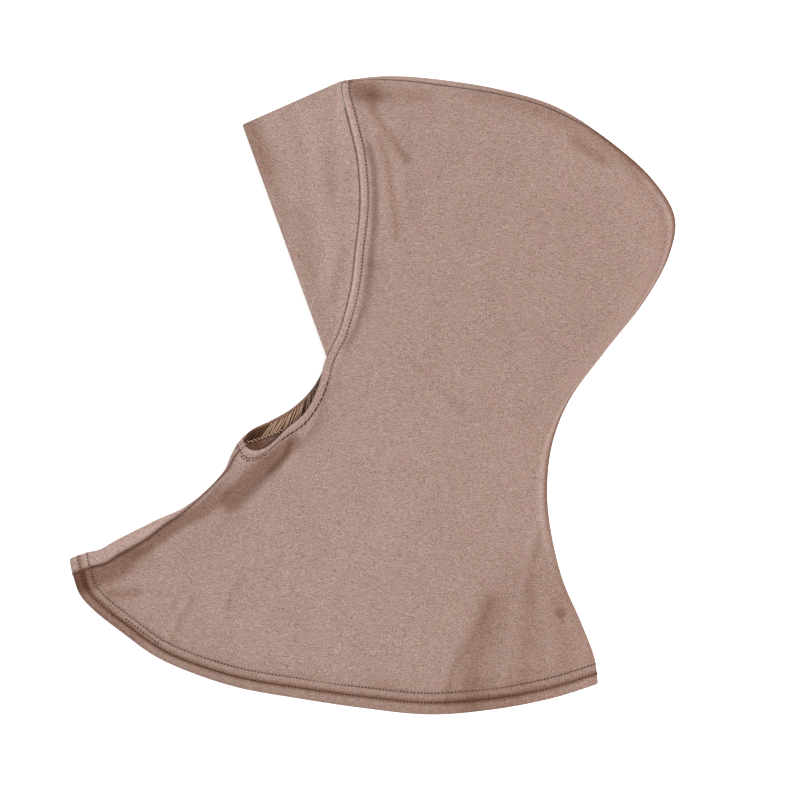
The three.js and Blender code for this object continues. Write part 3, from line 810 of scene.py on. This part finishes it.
def strip_piece(name, rows, lines, depth, wall, from_mouth):
    """Doubled strip round a mouth, with its lines in order from the hem to the face."""
    depths = depth * np.linspace(0.0, 1.0, lines) ** LIP_HUG
    if from_mouth is along_from_face:
        depths = depths[::-1]
    along = from_mouth(rows, depths)
    return walled_piece(name, tube_points, rows, along, rounded_lip(depths, wall), wall, True)


left_panel = panel_piece("left_panel_cloth", panel_rows(1, 22, 160), 220)
right_panel = panel_piece("right_panel_cloth", panel_rows(-1, 16, 60), 130)

upper_hem_rows = panel_rows(1, 24, 560)
lower_hem_rows = panel_rows(-1, 16, 160)
upper_face_rows = panel_rows(1, 24, 380)
lower_face_rows = panel_rows(-1, 24, 300)
hem_rows = upper_hem_rows + lower_hem_rows
face_rows = upper_face_rows + lower_face_rows
hem = strip_piece("bottom_hem_cloth", hem_rows, 29, HEM_DEPTH, HEM_WALL, along_from_hem)
binding = strip_piece(
    "face_binding_cloth", face_rows, 17, BINDING_DEPTH, BINDING_WALL, along_from_face
)


# Brow band.

BINDING_STEP = BINDING_WALL + PANEL_GAP
LOFT_FOR_TUCK = 2 * (BINDING_STEP + BAND_WALL - EDGE_RADIUS) + PANEL_GAP
FACE_LOFT = HEAD_LOFT * LOFT_ALONG[-1][1]

# Creases of the band, as those of the upper side.
BAND_CREASES = [
    (
        4.5, 0.9, 0.04,
        [(0.391, 0.931), (0.399, 0.884), (0.408, 0.821), (0.421, 0.759), (0.431, 0.699)],
    ),
    (3, 0.5, 0.04, [(0.444, 0.944), (0.448, 0.9), (0.453, 0.861)]),
    (3.5, -0.9, -0.05, [(0.424, 0.869), (0.431, 0.834), (0.431, 0.814)]),
    (4, -0.9, -0.06, [(0.451, 0.719), (0.443, 0.688), (0.434, 0.649)]),
    (5, -0.8, -0.05, [(0.381, 0.782), (0.391, 0.727), (0.404, 0.672)]),
    (7, -1, -0.15, [(0.298, 0.922), (0.308, 0.894), (0.322, 0.859)]),
    (5, -0.4, -0.04, [(0.332, 0.84), (0.355, 0.782)]),
]

band_tip = crown_line.at(1.0) + BAND_SLOPE * BAND_REACH
front_fold = face_lines[1].at(BAND_CHEEK_SHARES[1]) - band_tip


def reach_from(plan):
    """Reach of the band from points of the face edge to its straight front fold."""
    to_tip = band_tip - plan
    across = front_fold[0] * BAND_SLOPE[1] - front_fold[1] * BAND_SLOPE[0]
    reach = (front_fold[0] * to_tip[..., 1] - front_fold[1] * to_tip[..., 0]) / across
    return np.maximum(reach, 0.0)


def band_rows(edge_count, cheek_count):
    def cheek_row(side, share):
        def place(along, depth):
            last = middle_row(side, 1.0)(along, depth)
            return last[0], mix(BAND_CHEEK_SHARES[side], last[1], share), last[2]

        return place

    shares = np.linspace(0.0, 1.0, cheek_count, endpoint=False)
    edge_shares = np.linspace(0.0, 1.0, edge_count)
    rows = [cheek_row(1, share) for share in shares]
    rows += [edge_row(CROWN_EDGE, 1, share) for share in edge_shares[::-1]]
    rows += [edge_row(CROWN_EDGE, -1, share) for share in edge_shares]
    rows += [cheek_row(-1, share) for share in shares[::-1]]
    return rows


# Painted shade, below 0, and painted light, above 0, across the band: their change, distance
# and half width, before its front fold and ahead of the face edge.
FOLD_SHADES = [(-0.05, 5.0, 4.0)]
BAND_ROOT_SHADES = [(0.08, 1.5, 2.5)]


def band_points(rows, out, depth):
    """Points of the brow band and their painted light and shade. Out is a grid of shares from
    the face edge to the front fold."""
    at_face = np.ones_like(out)
    side, across, height = row_places(rows, at_face, depth)
    plan = sheet_places(side, across, at_face)
    loft = loft_at(across, at_face, one_sheet(1, across, at_face))
    sink = np.clip(loft / LOFT_FOR_TUCK, 0, 1) * BINDING_STEP
    tuck = mix(-PANEL_GAP, BAND_TUCK, np.clip(loft / LOFT_FOR_TUCK - 1, 0, 1))
    reach = reach_from(plan)
    ahead = mix(-tuck, reach, out)
    plan = plan + ahead[..., None] * BAND_SLOPE
    upper = mix(loft - sink, BAND_LOFT * loft / FACE_LOFT, ease(ahead / BAND_REACH))
    creases, crease_painted_light_and_shade = crease_relief(plan, BAND_CREASES)
    clear = ease(loft / 3.0) * ease((reach - ahead) / 8.0) * ease(ahead / 6.0)
    upper = upper + (creases + 0.2 * waves(plan, 34.0, 21)) * clear
    lower = sink * (1 - ease((ahead - PANEL_GAP) / HEM_DEPTH))
    # Painted light and shade in the creases, painted shade before the front fold, painted light
    # just ahead of the face edge, and a painted contact shadow where the band goes under the
    # binding.
    painted_light_and_shade = 1.02 + crease_painted_light_and_shade + ridges(reach - ahead, FOLD_SHADES)
    painted_light_and_shade = painted_light_and_shade + ridges(ahead, BAND_ROOT_SHADES) - 0.12 * (1 - ease(ahead + 0.2))
    return lifted(plan, height + np.where(side > 0, upper, lower)), painted_light_and_shade


def band_piece():
    rows = band_rows(14, 100)
    out = np.concatenate([np.linspace(0, 0.97, 60), [0.98, 0.988, 0.994, 1.0]])
    taken = rounded_lip((1 - out) * BAND_REACH, BAND_WALL)
    grid = out[:, None] + np.zeros(len(rows))
    return walled_piece("brow_band_cloth", band_points, rows, grid, taken, BAND_WALL)


band = band_piece()


# Materials.


class Graph:
    """A material's node tree, with short calls to add and join nodes."""

    def __init__(self, name):
        self.material = bpy.data.materials.new(name)
        self.material.use_nodes = True
        self.tree = self.material.node_tree
        self.shader = self.tree.nodes["Principled BSDF"]
        self.place = self.add("ShaderNodeTexCoord").outputs["Object"]

    def add(self, kind, inputs=None, **settings):
        node = self.tree.nodes.new(kind)
        for key, value in settings.items():
            setattr(node, key, value)
        for key, value in (inputs or {}).items():
            self.put(node.inputs[key], value)
        return node

    def put(self, socket, value):
        if isinstance(value, bpy.types.NodeSocket):
            self.tree.links.new(value, socket)
        else:
            socket.default_value = value

    def surface(self, inputs):
        """Sets or joins the named sockets of the shader, and gives the material."""
        for key, value in inputs.items():
            self.put(self.shader.inputs[key], value)
        return self.material

    def math(self, operation, *values):
        node = self.add("ShaderNodeMath", operation=operation)
        for socket, value in zip(node.inputs, values):
            self.put(socket, value)
        return node.outputs[0]

    def plus(self, first, *others):
        for value in others:
            first = self.math("ADD", first, value)
        return first

    def times(self, first, *others):
        for value in others:
            first = self.math("MULTIPLY", first, value)
        return first

    def about_zero(self, value, reach):
        """A noise value moved to lie about zero and made this strong."""
        return self.math("MULTIPLY_ADD", value, reach, -reach / 2)

    def mix_colour(self, share, first, second, blend="MIX"):
        inputs = {0: share, 6: first, 7: second}
        return self.add("ShaderNodeMix", inputs, data_type="RGBA", blend_type=blend).outputs[2]

    def noise(self, vector, size, detail=2.0, roughness=0.5):
        inputs = {"Vector": vector, "Scale": 1.0 / (size * MM)}
        inputs.update({"Detail": detail, "Roughness": roughness})
        return self.add("ShaderNodeTexNoise", inputs).outputs["Fac"]

    def turned(self, vector, angle, scale=(1.0, 1.0, 1.0)):
        inputs = {"Vector": vector, "Rotation": (0.0, 0.0, angle), "Scale": scale}
        return self.add("ShaderNodeMapping", inputs).outputs[0]

    def parts(self, vector):
        return self.add("ShaderNodeSeparateXYZ", {"Vector": vector}).outputs


def linear(red, green, blue):
    """Linear colour of a display colour from 0 to 255."""
    values = np.array([red, green, blue]) / 255
    curved = ((values + 0.055) / 1.055) ** 2.4
    return (*np.where(values <= 0.04045, values / 12.92, curved).tolist(), 1.0)


CLOTH_COLOUR = linear(155, 130, 120)

# Sizes of the knit and of its flecks, streaks and ribs, in millimetres.
WALE_PITCH = 0.75
COURSE_PITCH = 0.55
FLECK_SIZE = 0.5
STREAK_SIZE = 0.7
CLOUD_SIZE = 26.0
RIB_PITCH = 1.44
BUMP_HEIGHT = 0.3

# How strongly flecks, streaks, clouds and knit change the light of the cloth.
GRAIN = 2.0
STREAK_GRAIN = 0.3 * GRAIN
CLOUD_GRAIN = 0.12
KNIT_GRAIN = 0.08

# The small dark mark over the back of the hem: place, core, reach and how ragged it is.
SPOT_PLACE = (112.8, -130.5)
SPOT_CORE = 2.3
SPOT_REACH = 4.2
SPOT_RAGGED = 3.0
SPOT_SHARE = 0.5
SPOT_COLOUR = linear(112, 72, 64)

# How each channel answers: powers of the cloth's flecked lightness, of the painted shade,
# below 1, and of the painted light, above 1, and the stray tint that it takes, with its strength.
CHANNELS = {
    "Red": (0.84, 1.4, 1.5, "pink", 1.1),
    "Green": (1.06, 1.95, 1.6, "pink", -0.7),
    "Blue": (1.17, 2.35, 1.75, "yellow", -1.1),
}


def knit_height(graph, vector):
    """Height of a fine knit: columns of small slanted loops."""
    parts = graph.parts(vector)
    half = graph.math("PINGPONG", graph.math("DIVIDE", parts[0], WALE_PITCH * MM), 0.5)
    course = graph.math("DIVIDE", parts[1], COURSE_PITCH * MM)
    course = graph.plus(course, graph.times(half, 1.1))
    loop = graph.math("SINE", graph.times(course, 2 * math.pi))
    column = graph.math("SINE", graph.times(half, 2 * math.pi))
    return graph.times(graph.plus(graph.times(loop, 0.35), column), 0.5)


def add_spot(graph, base):
    squares = []
    for part, centre in zip(graph.parts(graph.place), SPOT_PLACE):
        squares.append(graph.math("POWER", graph.math("SUBTRACT", part, centre * MM), 2.0))
    ragged = graph.about_zero(graph.noise(graph.place, 2.0, 2.0, 0.6), SPOT_RAGGED * MM)
    distance = graph.plus(graph.math("SQRT", graph.plus(*squares)), ragged)
    reach = {"From Min": SPOT_CORE * MM, "From Max": SPOT_REACH * MM}
    reach.update({"Value": distance, "To Min": SPOT_SHARE, "To Max": 0.0})
    mask = graph.add("ShaderNodeMapRange", reach).outputs[0]
    return graph.mix_colour(mask, base, SPOT_COLOUR)


def jersey(name, angle=0.0, rib=0.0, rib_angle=0.0, spot=False):
    """Melange jersey: fine flecks, faint streaks along the courses, a knit relief and, for
    the brow band, fine slanting ribs, with the painted light and shade of its points in its
    colour."""
    graph = Graph(name)
    place = graph.place
    flecks = graph.noise(graph.turned(place, angle, (0.85, 1.0, 1.0)), FLECK_SIZE, 1.0)
    streaks = graph.noise(graph.turned(place, angle, (0.2, 1.0, 1.0)), STREAK_SIZE, 1.0)
    clouds = graph.noise(place, CLOUD_SIZE)
    knit = knit_height(graph, graph.turned(place, angle))
    light = graph.plus(
        graph.about_zero(flecks, GRAIN),
        1.0,
        graph.about_zero(streaks, STREAK_GRAIN),
        graph.about_zero(clouds, CLOUD_GRAIN),
        graph.times(knit, KNIT_GRAIN),
    )
    if rib:
        across = graph.parts(graph.turned(place, rib_angle))[0]
        uneven = graph.about_zero(graph.noise(place, 5.0, 2.0, 0.6), 2.4)
        phase = graph.math("MULTIPLY_ADD", across, 2 * math.pi / (RIB_PITCH * MM), uneven)
        light = graph.plus(light, graph.times(graph.math("SINE", phase), rib))
    light = graph.math("MAXIMUM", light, 0.1)
    # The painted light and shade of the points: below 1 it darkens the colour where shade falls,
    # above 1 it lightens it where light falls.
    painted_light_and_shade = graph.add("ShaderNodeAttribute", attribute_name="painted_light_and_shade").outputs["Fac"]
    painted_shade = graph.math("MINIMUM", painted_light_and_shade, 1.0)
    painted_light = graph.math("MAXIMUM", painted_light_and_shade, 1.0)
    strays = {
        "pink": graph.about_zero(graph.noise(place, 6.0, 2.0, 0.6), 0.1),
        "yellow": graph.about_zero(graph.noise(graph.turned(place, 2.0), 5.0, 2.0, 0.6), 0.14),
    }
    channels = {}
    for channel, (fleck_power, painted_shade_power, painted_light_power, stray, reach) in CHANNELS.items():
        channels[channel] = graph.times(
            graph.math("POWER", light, fleck_power),
            graph.math("POWER", painted_shade, painted_shade_power),
            graph.math("POWER", painted_light, painted_light_power),
            graph.math("MULTIPLY_ADD", strays[stray], reach, 1.0),
        )
    shades = graph.add("ShaderNodeCombineColor", channels).outputs[0]
    base = graph.mix_colour(1.0, CLOTH_COLOUR, shades, "MULTIPLY")
    if spot:
        base = add_spot(graph, base)
    relief = graph.plus(graph.times(flecks, 0.8), graph.times(knit, 0.4))
    bump = {"Height": relief, "Strength": 0.5, "Distance": BUMP_HEIGHT * MM}
    return graph.surface({
        "Base Color": base,
        "Normal": graph.add("ShaderNodeBump", bump).outputs[0],
        "Roughness": 0.92,
        "Specular IOR Level": 0.06,
        "Sheen Weight": 0.08,
        "Sheen Roughness": 0.5,
        "Sheen Tint": (0.9, 0.66, 0.56, 1.0),
    })


def yarn(name, red, green, blue):
    """Thread, or the painted shade of a needle hole, with fine flecks in its colour."""
    graph = Graph(name)
    colour = linear(red, green, blue)[:3]
    dark, pale = ((*(part * value for value in colour), 1.0) for part in (0.7, 1.3))
    base = graph.mix_colour(graph.noise(graph.place, FLECK_SIZE, 2.0, 0.6), dark, pale)
    return graph.surface({"Base Color": base, "Roughness": 0.9, "Specular IOR Level": 0.15})


jersey_left = jersey("jersey_left", spot=True)
jersey_right = jersey("jersey_right", 0.05)
jersey_hem = jersey("jersey_hem", 0.1)
jersey_binding = jersey("jersey_binding", 1.25)
jersey_band = jersey("jersey_band", 0.9, 0.105, -0.64)
thread = yarn("sewing_thread", 146, 119, 106)
shaded_thread = yarn("shaded_thread", 120, 92, 79)
# The needle holes' colour is painted shade.
painted_hole_shade = yarn("needle_hole_painted_shade", 66, 42, 33)
overlock_light = yarn("overlock_thread", 176, 146, 122)
# The overlock's shadow thread is its thread colour in painted shade.
overlock_shaded = yarn("overlock_shadow_thread", 90, 64, 49)


def dress(piece, material, slot, *nodes):
    piece.data.materials.append(material)
    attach(piece, "root")
    if nodes:
        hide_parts(*nodes)


dress(left_panel, jersey_left, "jersey", "left_panel")
dress(right_panel, jersey_right, "jersey", "right_panel")
dress(hem, jersey_hem, "hem", "bottom_hem")
dress(binding, jersey_binding, "binding", "face_binding")
dress(band, jersey_band, "band", "brow_band")


# Stitches.

# Distances to the places beside a row and beside a seam that give the way out of the cloth.
ROW_SIDE = 0.4
SEAM_SHIFTS = (0.0, 0.3, 0.6)

# Sides of a thread, the angle where its taper starts, the share of a stitch that is left
# free at each end, and its rise.
THREAD_SIDES = 6
THREAD_END = 0.35
STITCH_GAP = 0.16
STITCH_RISE = 0.2

# Places along a stitch and its rise there, as shares.
ARCH_SHARES = np.array([0.0, 0.22, 0.5, 0.78, 1.0])
ARCH_RISES = np.array([-0.6, 0.75, 1.0, 0.75, -0.6])

# A needle hole's half length, half width and half depth as shares of its size, and its lift.
HOLE_LENGTH = 1.35
HOLE_WIDTH = 0.85
HOLE_DEPTH = 0.35
HOLE_LIFT = 0.05
HOLE_RINGS = 3
HOLE_SIDES = 8


def unit(vectors):
    return vectors / np.linalg.norm(vectors, axis=-1, keepdims=True)


def ring_path(rows, from_mouth, depth, cloth_depth=0.0):
    """Line round a mouth at a depth from it, with the way out of the cloth at each point."""
    depths = depth + np.array([-ROW_SIDE, 0.0, ROW_SIDE])[:, None] + np.zeros(len(rows))
    outwards = -1
    if from_mouth is along_from_hem:
        across = np.array([float(row(np.array(0.0), 0.0)[1]) for row in rows])
        depths = depths + look_up(HEM_WANDER, across)
        outwards = 1
    alongs = from_mouth(rows, depths)
    points, _ = tube_points(rows, alongs, np.full_like(alongs, cloth_depth))
    ways = np.cross(np.gradient(points[1], axis=0), points[2] - points[0])
    return points[1], unit(ways) * outwards


def seam_path(edge, panel_side, past, alongs):
    """Line along the tube beside a seam, with the way out of the cloth at each point."""
    rows = [edge_row(edge, panel_side, (past + shift) / EDGE_STRIP) for shift in SEAM_SHIFTS]
    grid = np.repeat(alongs[:, None], len(rows), axis=1)
    points, _ = tube_points(rows, grid, np.zeros_like(grid))
    ways = unit(np.cross(points[:, 2] - points[:, 0], np.gradient(points[:, 1], axis=0)))
    return points[:, 1], ways * np.sign(ways[:, 2:3])


def part_of(path, start, end):
    line, ways = path
    run = running_length(line)
    kept = (run >= start * run[-1]) & (run <= end * run[-1])
    return line[kept], ways[kept]


def paced(path, pitch):
    """Points at an even pitch along a path, with their ways out."""
    line, ways = path
    run = running_length(line)
    wanted = np.linspace(0.0, run[-1], max(int(round(run[-1] / pitch)), 1) + 1)
    return read_at(wanted, run, line), unit(read_at(wanted, run, ways))


def ring_faces(count, rings, sides, each):
    """Faces between the rings of many small tubes that have this many points each, and the
    tubes' first points."""
    base = (np.arange(count) * each)[:, None]
    ring = base[:, :, None] + (np.arange(rings - 1) * sides)[:, None]
    corner = np.arange(sides)
    then = (corner + 1) % sides
    far = ring + sides
    return quads(ring + corner, far + corner, far + then, ring + then), base


def thread_piece(name, lines, ways, radius, material, slot):
    """Short threads as closed tubes. Lines is a block of shape (threads, points, 3)."""
    count, length = lines.shape[:2]
    sides = THREAD_SIDES
    tangent = unit(np.gradient(lines, axis=1))
    across = unit(np.cross(tangent, ways[:, None, :]))[:, :, None, :]
    up = np.cross(across, tangent[:, :, None, :])
    turn = (np.arange(sides) * 2 * math.pi / sides)[:, None]
    taper = np.sin(np.linspace(THREAD_END, math.pi - THREAD_END, length)) ** 0.5
    circle = np.cos(turn) * up + np.sin(turn) * across
    rings = lines[:, :, None, :] + radius * taper[:, None, None] * circle
    faces, base = ring_faces(count, length, sides, length * sides)
    first = base + np.arange(sides)
    faces += first.tolist()
    faces += (first + (length - 1) * sides)[:, ::-1].tolist()
    dress(mesh_object(name, rings.reshape(-1, 3), faces), material, slot)


def arched(starts, ends, ways, height):
    """Lines of five points from each start to its end, raised in the middle."""
    lines = starts[:, None] + (ends - starts)[:, None] * ARCH_SHARES[:, None]
    return lines + ways[:, None] * (ARCH_RISES * height)[:, None]


def hole_piece(name, centres, ways, size, slot):
    """Needle holes: small lenses of painted shade let into the cloth, drawn out along their row.
    """
    side_way = unit(np.cross(ways, unit(np.gradient(centres, axis=0))))
    row_way = HOLE_LENGTH * np.cross(side_way, ways)
    side_way = HOLE_WIDTH * side_way
    deep = HOLE_DEPTH * ways
    blocks = []
    for tilt in math.pi * np.arange(1, HOLE_RINGS + 1) / (HOLE_RINGS + 1):
        for turn in np.arange(HOLE_SIDES) * 2 * math.pi / HOLE_SIDES:
            offset = math.cos(turn) * row_way + math.sin(turn) * side_way
            blocks.append(centres + size * (math.sin(tilt) * offset + math.cos(tilt) * deep))
    blocks += [centres + size * deep, centres - size * deep]
    points = np.stack(blocks, axis=1)
    faces, base = ring_faces(len(centres), HOLE_RINGS, HOLE_SIDES, len(blocks))
    last = base + (HOLE_RINGS - 1) * HOLE_SIDES
    tip = last + HOLE_SIDES
    for step in range(HOLE_SIDES):
        then = (step + 1) % HOLE_SIDES
        faces += quads(tip, base + step, base + then)
        faces += quads(tip + 1, last + then, last + step)
    dress(mesh_object(name, points.reshape(-1, 3), faces), painted_hole_shade, slot)


def stitch_row(name, path, slot, slant=0.0, radius=0.2, hole_size=0.5, material=thread):
    """Lockstitches between needle holes. Slant moves each stitch's ends across the row."""
    places, ways = paced(path, STITCH_PITCH)
    steps = places[1:] - places[:-1]
    across = unit(np.cross(ways[:-1], steps)) * slant
    starts = places[:-1] + STITCH_GAP * steps - across
    ends = places[1:] - STITCH_GAP * steps + across
    lines = arched(starts, ends, ways[:-1], STITCH_RISE)
    thread_piece(name + "_thread", lines, ways[:-1], radius, material, slot)
    hole_piece(name + "_holes", places + HOLE_LIFT * ways, ways, hole_size, slot)


def dash_row(name, path, pitch, length, slant, radius, slot):
    """Slanted dashes of painted shade where the stitches pull the cloth open."""
    places, ways = paced(path, pitch)
    chance = np.random.default_rng(6)
    steps = unit(places[1:] - places[:-1])
    half = 0.5 * length * chance.uniform(0.7, 1.2, len(steps))[:, None] * steps
    across = np.cross(ways[:-1], steps) * slant
    middles = places[:-1] + chance.uniform(-0.25, 0.25, len(steps))[:, None] * steps
    lines = arched(middles - half - across, middles + half + across, ways[:-1], STITCH_RISE)
    thread_piece(name, lines, ways[:-1], radius, painted_hole_shade, slot)


# Rows of the hem. The upper row was sewn over its own start for a short way.
hem_lower_path = ring_path(upper_hem_rows, along_from_hem, HEM_LOWER_ROW)
hem_upper_path = ring_path(upper_hem_rows, along_from_hem, HEM_UPPER_ROW)
hem_pull = part_of(hem_lower_path, 0.1, 1.0)
stitch_row("hem_lower_row", hem_lower_path, "hem", 0.35, 0.24, 0.55, shaded_thread)
dash_row("hem_lower_dashes", hem_pull, STITCH_PITCH, 1.5, 0.5, 0.32, "hem")
stitch_row("hem_upper_row", hem_upper_path, "hem", 0.0, 0.18, 0.54)
second_start = ring_path(upper_hem_rows, along_from_hem, HEM_UPPER_ROW - 3.0)
stitch_row("hem_row_overlap", part_of(second_start, 0.12, 0.19), "hem")
for level, depth, slant in (("lower", HEM_LOWER_ROW, 0.3), ("upper", HEM_UPPER_ROW, 0.0)):
    under_path = ring_path(lower_hem_rows, along_from_hem, depth)
    stitch_row("hem_under_" + level + "_row", under_path, "hem", slant)

# Rows of the binding, which is pulled open near the cheek and at the chin.
binding_path = ring_path(upper_face_rows, along_from_face, BINDING_ROW)
stitch_row("binding_row", binding_path, "binding", 0.0, 0.18, 0.55)
dash_row("binding_dashes", part_of(binding_path, 0.12, 0.3), 3.4, 2.6, 0.3, 0.42, "binding")
chin_path = ring_path(upper_face_rows, along_from_face, BINDING_ROW + 1.2)
dash_row("chin_dashes", part_of(chin_path, 0.015, 0.08), 1.9, 1.3, -0.5, 0.3, "binding")
under_path = ring_path(lower_face_rows, along_from_face, BINDING_ROW)
stitch_row("binding_under_row", under_path, "binding", 0.0, 0.18, 0.42)


def joint_row(name, edge, past, from_mouth, depths, slot, hole_size):
    """Stitches across a strip, this far past a seam, where its ends are joined."""
    strip = from_mouth([edge_row(edge, 1, 0.0)], depths)[:, 0]
    stitch_row(name, seam_path(edge, 1, past, strip), slot, 0.0, 0.2, hole_size)


hem_joint = np.linspace(0.4, HEM_DEPTH, 12)
face_joint = np.linspace(0.4, BINDING_DEPTH + 1.0, 8)
joint_row("hem_joint", NECK_EDGE, 0.0, along_from_hem, hem_joint, "hem", 0.55)
joint_row("chin_joint", NECK_EDGE, 0.0, along_from_face, face_joint, "binding", 0.45)
joint_row("chin_joint_front", NECK_EDGE, -3.4, along_from_face, face_joint, "binding", 0.4)
joint_row("crown_joint", CROWN_EDGE, 0.6, along_from_face, face_joint, "binding", 0.45)


# The overlocked edge: how far a thread slants along it, in pitches, how far its start and
# end stray, in pitches, and its bend, in millimetres, the pitch of the loops and the radii.
OVERLOCK_SLANT = 2.5
OVERLOCK_STRAYS = np.array([0.2, 0.35, 0.5])
LOOP_PITCH = 2.1
THICK_RADIUS = 0.44
THIN_RADIUS = 0.36


def overlock(name, rows, slot):
    """Slanting threads over the raw edge inside the face opening, and the loops below them."""
    chance = np.random.default_rng(8)
    middle_depth = 0.5 * (OVERLOCK_START + OVERLOCK_END)
    first, _ = ring_path(rows, along_from_face, OVERLOCK_START, BINDING_WALL + 0.2)
    middle, middle_ways = ring_path(rows, along_from_face, middle_depth, PANEL_WALL + 0.9)
    second, second_ways = ring_path(rows, along_from_face, OVERLOCK_END, PANEL_WALL + 0.35)
    shares = np.linspace(0.0, 1.0, len(rows))
    count = int(running_length(first)[-1] / OVERLOCK_PITCH)
    index = np.arange(count - 3)
    strays = chance.uniform(-OVERLOCK_STRAYS, OVERLOCK_STRAYS, (len(index), 3))
    at = (index + strays[:, 0]) / count
    reach = (index + OVERLOCK_SLANT + strays[:, 1]) / count
    half = 0.5 * (at + reach)
    ways = -read_at(half, shares, middle_ways)
    start = read_at(at, shares, first)
    end = read_at(reach, shares, second)
    bend = strays[:, 2:] * unit(np.cross(ways, end - start))
    centre = read_at(half, shares, middle) + 0.3 * ways
    near_start = 0.5 * (start + centre) + 0.2 * ways + bend
    near_end = 0.5 * (centre + end) + 0.2 * ways - bend
    lines = np.stack([start, near_start, centre, near_end, end], axis=1)
    ways = unit(ways)
    # Some threads, and most of those near the chin, take the overlock's colour in painted shade.
    near_chin = bell(np.linalg.norm(centre[:, :2] - CHIN_HOLLOW, axis=-1), 9.5)
    dark = chance.uniform(0.0, 1.0, len(lines)) < 0.14 + 0.75 * near_chin
    thread_piece(name + "_light", lines[~dark], ways[~dark], THICK_RADIUS, overlock_light, slot)
    thread_piece(name + "_dark", lines[dark], ways[dark], THIN_RADIUS, overlock_shaded, slot)
    places, ways = paced((second, -second_ways), LOOP_PITCH)
    across = unit(np.cross(ways, np.gradient(places, axis=0)))
    # The lower loops, below the upper ones, are the overlock's colour in painted shade.
    for kind, material, side in (("upper", overlock_light, -1.1), ("lower", overlock_shaded, 0.0)):
        swing = chance.uniform(0.4, 1.2, len(places))[:, None] * across
        loops = places + side * across + 0.2 * ways
        lines = arched(loops[:-1] + swing[:-1], loops[1:] - swing[1:], ways[:-1], 0.4)
        thread_piece(name + "_loops_" + kind, lines, ways[:-1], THIN_RADIUS, material, slot)


overlock("overlock_right", lower_face_rows, "binding")
overlock("overlock_left", upper_face_rows, "binding")


# Stage: pale ground, a broad soft light and the camera straight above.

VIEW_CENTRE = np.array([16.8, -3.3])
VIEW_WIDTH = 480.0
LENS = 85.0
SENSOR = 36.0

# Sizes of the ground and of the key light, and the light's place, in metres. Both light
# strengths and the glow of the ground are set by the pale ground of the photograph.
GROUND_SIZE = 6.0
GROUND_GLOW = 0.6
SKY_STRENGTH = 0.56
KEY_PLACE = np.array([1.28, 0.34, 3.77])
KEY_SIZE = 1.8
KEY_POWER = 129.0
WHITE = (1.0, 1.0, 1.0, 1.0)


def make_stage():
    bpy.ops.mesh.primitive_plane_add(size=GROUND_SIZE, location=(0.0, 0.0, 0.0))
    ground = bpy.context.object
    ground.name = "ground"
    graph = Graph("ground")
    cloudy = graph.noise(graph.place, 60.0, 1.0)
    ground.data.materials.append(graph.surface({
        "Base Color": graph.mix_colour(cloudy, (0.9, 0.9, 0.9, 1.0), (0.92, 0.92, 0.92, 1.0)),
        "Roughness": 0.9,
        "Specular IOR Level": 0.1,
        "Emission Color": WHITE,
        "Emission Strength": GROUND_GLOW,
    }))


def make_light():
    """White surroundings, and a broad disk of light that faces the middle of the cap."""
    world = bpy.data.worlds.new("studio")
    bpy.context.scene.world = world
    world.use_nodes = True
    background = world.node_tree.nodes["Background"]
    background.inputs["Color"].default_value = WHITE
    background.inputs["Strength"].default_value = SKY_STRENGTH
    data = bpy.data.lights.new("key", "AREA")
    data.shape = "DISK"
    data.size = KEY_SIZE
    data.energy = KEY_POWER
    light = linked("key", data)
    light.location = KEY_PLACE
    from_above = math.acos(KEY_PLACE[2] / np.linalg.norm(KEY_PLACE))
    turn = math.atan2(-KEY_PLACE[1], -KEY_PLACE[0]) - math.pi / 2
    light.rotation_euler = (from_above, 0.0, turn)
    bpy.context.scene.view_settings.view_transform = "Standard"


def make_camera():
    data = bpy.data.cameras.new("camera")
    data.lens = LENS
    data.sensor_width = SENSOR
    data.clip_start = 0.01
    camera = linked("camera", data)
    away = VIEW_WIDTH * LENS / SENSOR
    camera.location = (VIEW_CENTRE[0] * MM, VIEW_CENTRE[1] * MM, away * MM)
    bpy.context.scene.camera = camera


make_stage()
make_light()
make_camera()
